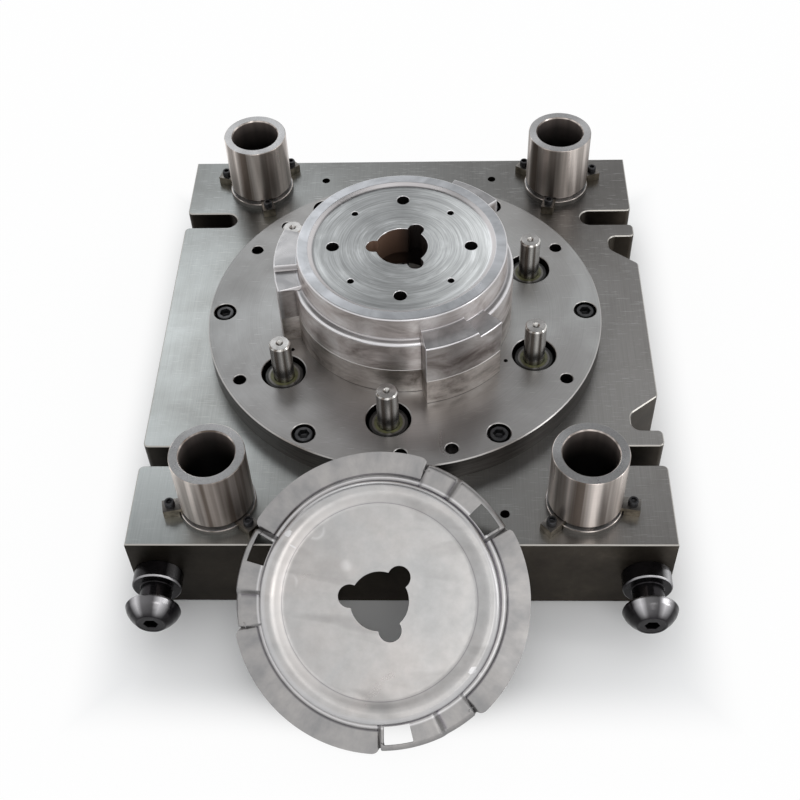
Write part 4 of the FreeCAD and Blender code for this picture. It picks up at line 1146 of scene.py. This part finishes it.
def level_sheet(name, x, y, z, half_width, half_depth, down=False):
    """Level rectangle for the stage, facing up or down."""
    mesh = bpy.data.meshes.new(name)
    corners = [(x + a * half_width, y + b * half_depth, z) for a, b in ((-1, -1), (1, -1), (1, 1), (-1, 1))]
    mesh.from_pydata(corners, [], [(3, 2, 1, 0) if down else (0, 1, 2, 3)])
    return as_object(mesh, name)


def lay_floor():
    """Pale floor that takes the object's shadow and fades to white a little way out from it."""
    floor = level_sheet("floor", 0.0, 0.0, -0.8 * MM, 9.0, 9.0)
    f = Finish("floor_pale")
    f.tree.nodes.remove(f.steel)
    even = f.vector("ABSOLUTE", f.vector("ADD", f.at, (0.0, 0.035, 0.0)))
    split = f.node("SeparateXYZ", {0: even}).outputs
    half_width, half_depth, fade_over, fade_to = 0.24, 0.3, 0.06, 0.93
    away = f.most(f.minus(split["X"], half_width), f.minus(split["Y"], half_depth))
    fade = f.node("MapRange", {"Value": away, "From Max": fade_over, "To Max": fade_to},
                  interpolation_type="SMOOTHSTEP")
    seen = f.node("LightPath").outputs["Is Camera Ray"]
    paint = f.node("BsdfDiffuse", {"Color": (0.9, 0.9, 0.9, 1)})
    glow = f.node("Emission", {"Color": (1, 1, 1, 1)})
    share = f.times(seen, fade.outputs["Result"])
    mix = f.node("MixShader", {0: share, 1: paint, 2: glow})
    f.feed(f.tree.nodes["Material Output"].inputs[0], mix)
    floor.data.materials.append(f.material)


def light_world():
    """White to the camera and to reflections, a soft cool white as light."""
    world = bpy.data.worlds.new("studio")
    bpy.context.scene.world = world
    world.use_nodes = True
    world.node_tree.nodes.clear()
    n = Nodes(world.node_tree)
    rays = n.node("LightPath").outputs
    clear = n.most(n.most(rays["Is Camera Ray"], rays["Is Glossy Ray"]), rays["Is Transmission Ray"])
    soft = n.node("Background", {"Color": (0.98, 0.99, 1.0, 1), "Strength": 0.92})
    white = n.node("Background", {"Color": (1, 1, 1, 1)})
    mix = n.node("MixShader", {0: clear, 1: soft, 2: white})
    n.node("OutputWorld", {0: mix})


def hang_lamp(name, place, aim, size, power, colour=(1, 1, 1)):
    """Soft rectangular lamp that looks at a point."""
    lamp = bpy.data.lights.new(name, "AREA")
    lamp.shape = "RECTANGLE"
    lamp.size, lamp.size_y = size
    lamp.energy = power
    lamp.color = colour
    hung = as_object(lamp, name)
    hung.location = place
    hung.rotation_euler = (Vector(aim) - Vector(place)).to_track_quat("-Z", "Y").to_euler()


def hang_card(name, centre, size, shade):
    """Dark card over the object, which only reflections see: it gives the ground steel its darker tones."""
    card = level_sheet(name, *centre, size[0] / 2, size[1] / 2, True)
    f = Finish(name)
    card.data.materials.append(f.wear((shade, shade, shade, 1), 1.0, 0.0))
    card.visible_camera = card.visible_diffuse = card.visible_shadow = False


def set_camera():
    """Camera solved from the photograph: 50 degrees down, a little left of straight ahead."""
    pitch, yaw, roll = 0.872813, -0.057347, -0.047146
    place, focal_pixels, picture_pixels, film = (0.040367, -0.847645, 0.992681), 1239.583, 800.0, 36.0
    forward = Vector((sin(yaw) * cos(pitch), cos(yaw) * cos(pitch), -sin(pitch)))
    right = Vector((cos(yaw), -sin(yaw), 0))
    up = right.cross(forward)
    level = cos(roll) * right + sin(roll) * up
    top = cos(roll) * up - sin(roll) * right
    camera = bpy.data.cameras.new("camera")
    camera.sensor_width = film
    camera.lens = focal_pixels * film / picture_pixels
    camera.clip_start = 0.05
    seen = as_object(camera, "camera")
    seen.matrix_world = Matrix.Translation(place) @ Matrix((level, top, -forward)).transposed().to_4x4()
    bpy.context.scene.camera = seen


build_die_set()
lay_floor()
light_world()
hang_lamp("window", (-0.6, 1.65, 1.75), (0.0, 0.0, 0.1), (1.0, 0.8), 3.5, (0.97, 0.99, 1.0))
hang_lamp("front", (0.5, -1.7, 2.0), (0.0, -0.2, 0.1), (0.9, 0.7), 4.0, (1.0, 0.99, 0.97))
hang_lamp("side", (1.8, -0.6, 1.0), (0.0, -0.1, 0.1), (0.3, 1.2), 4.0)
hang_card("ceiling_card", (0.0, 0.45, 1.75), (2.6, 1.2), 0.1)
set_camera()
bpy.context.scene.view_settings.view_transform = "Standard"
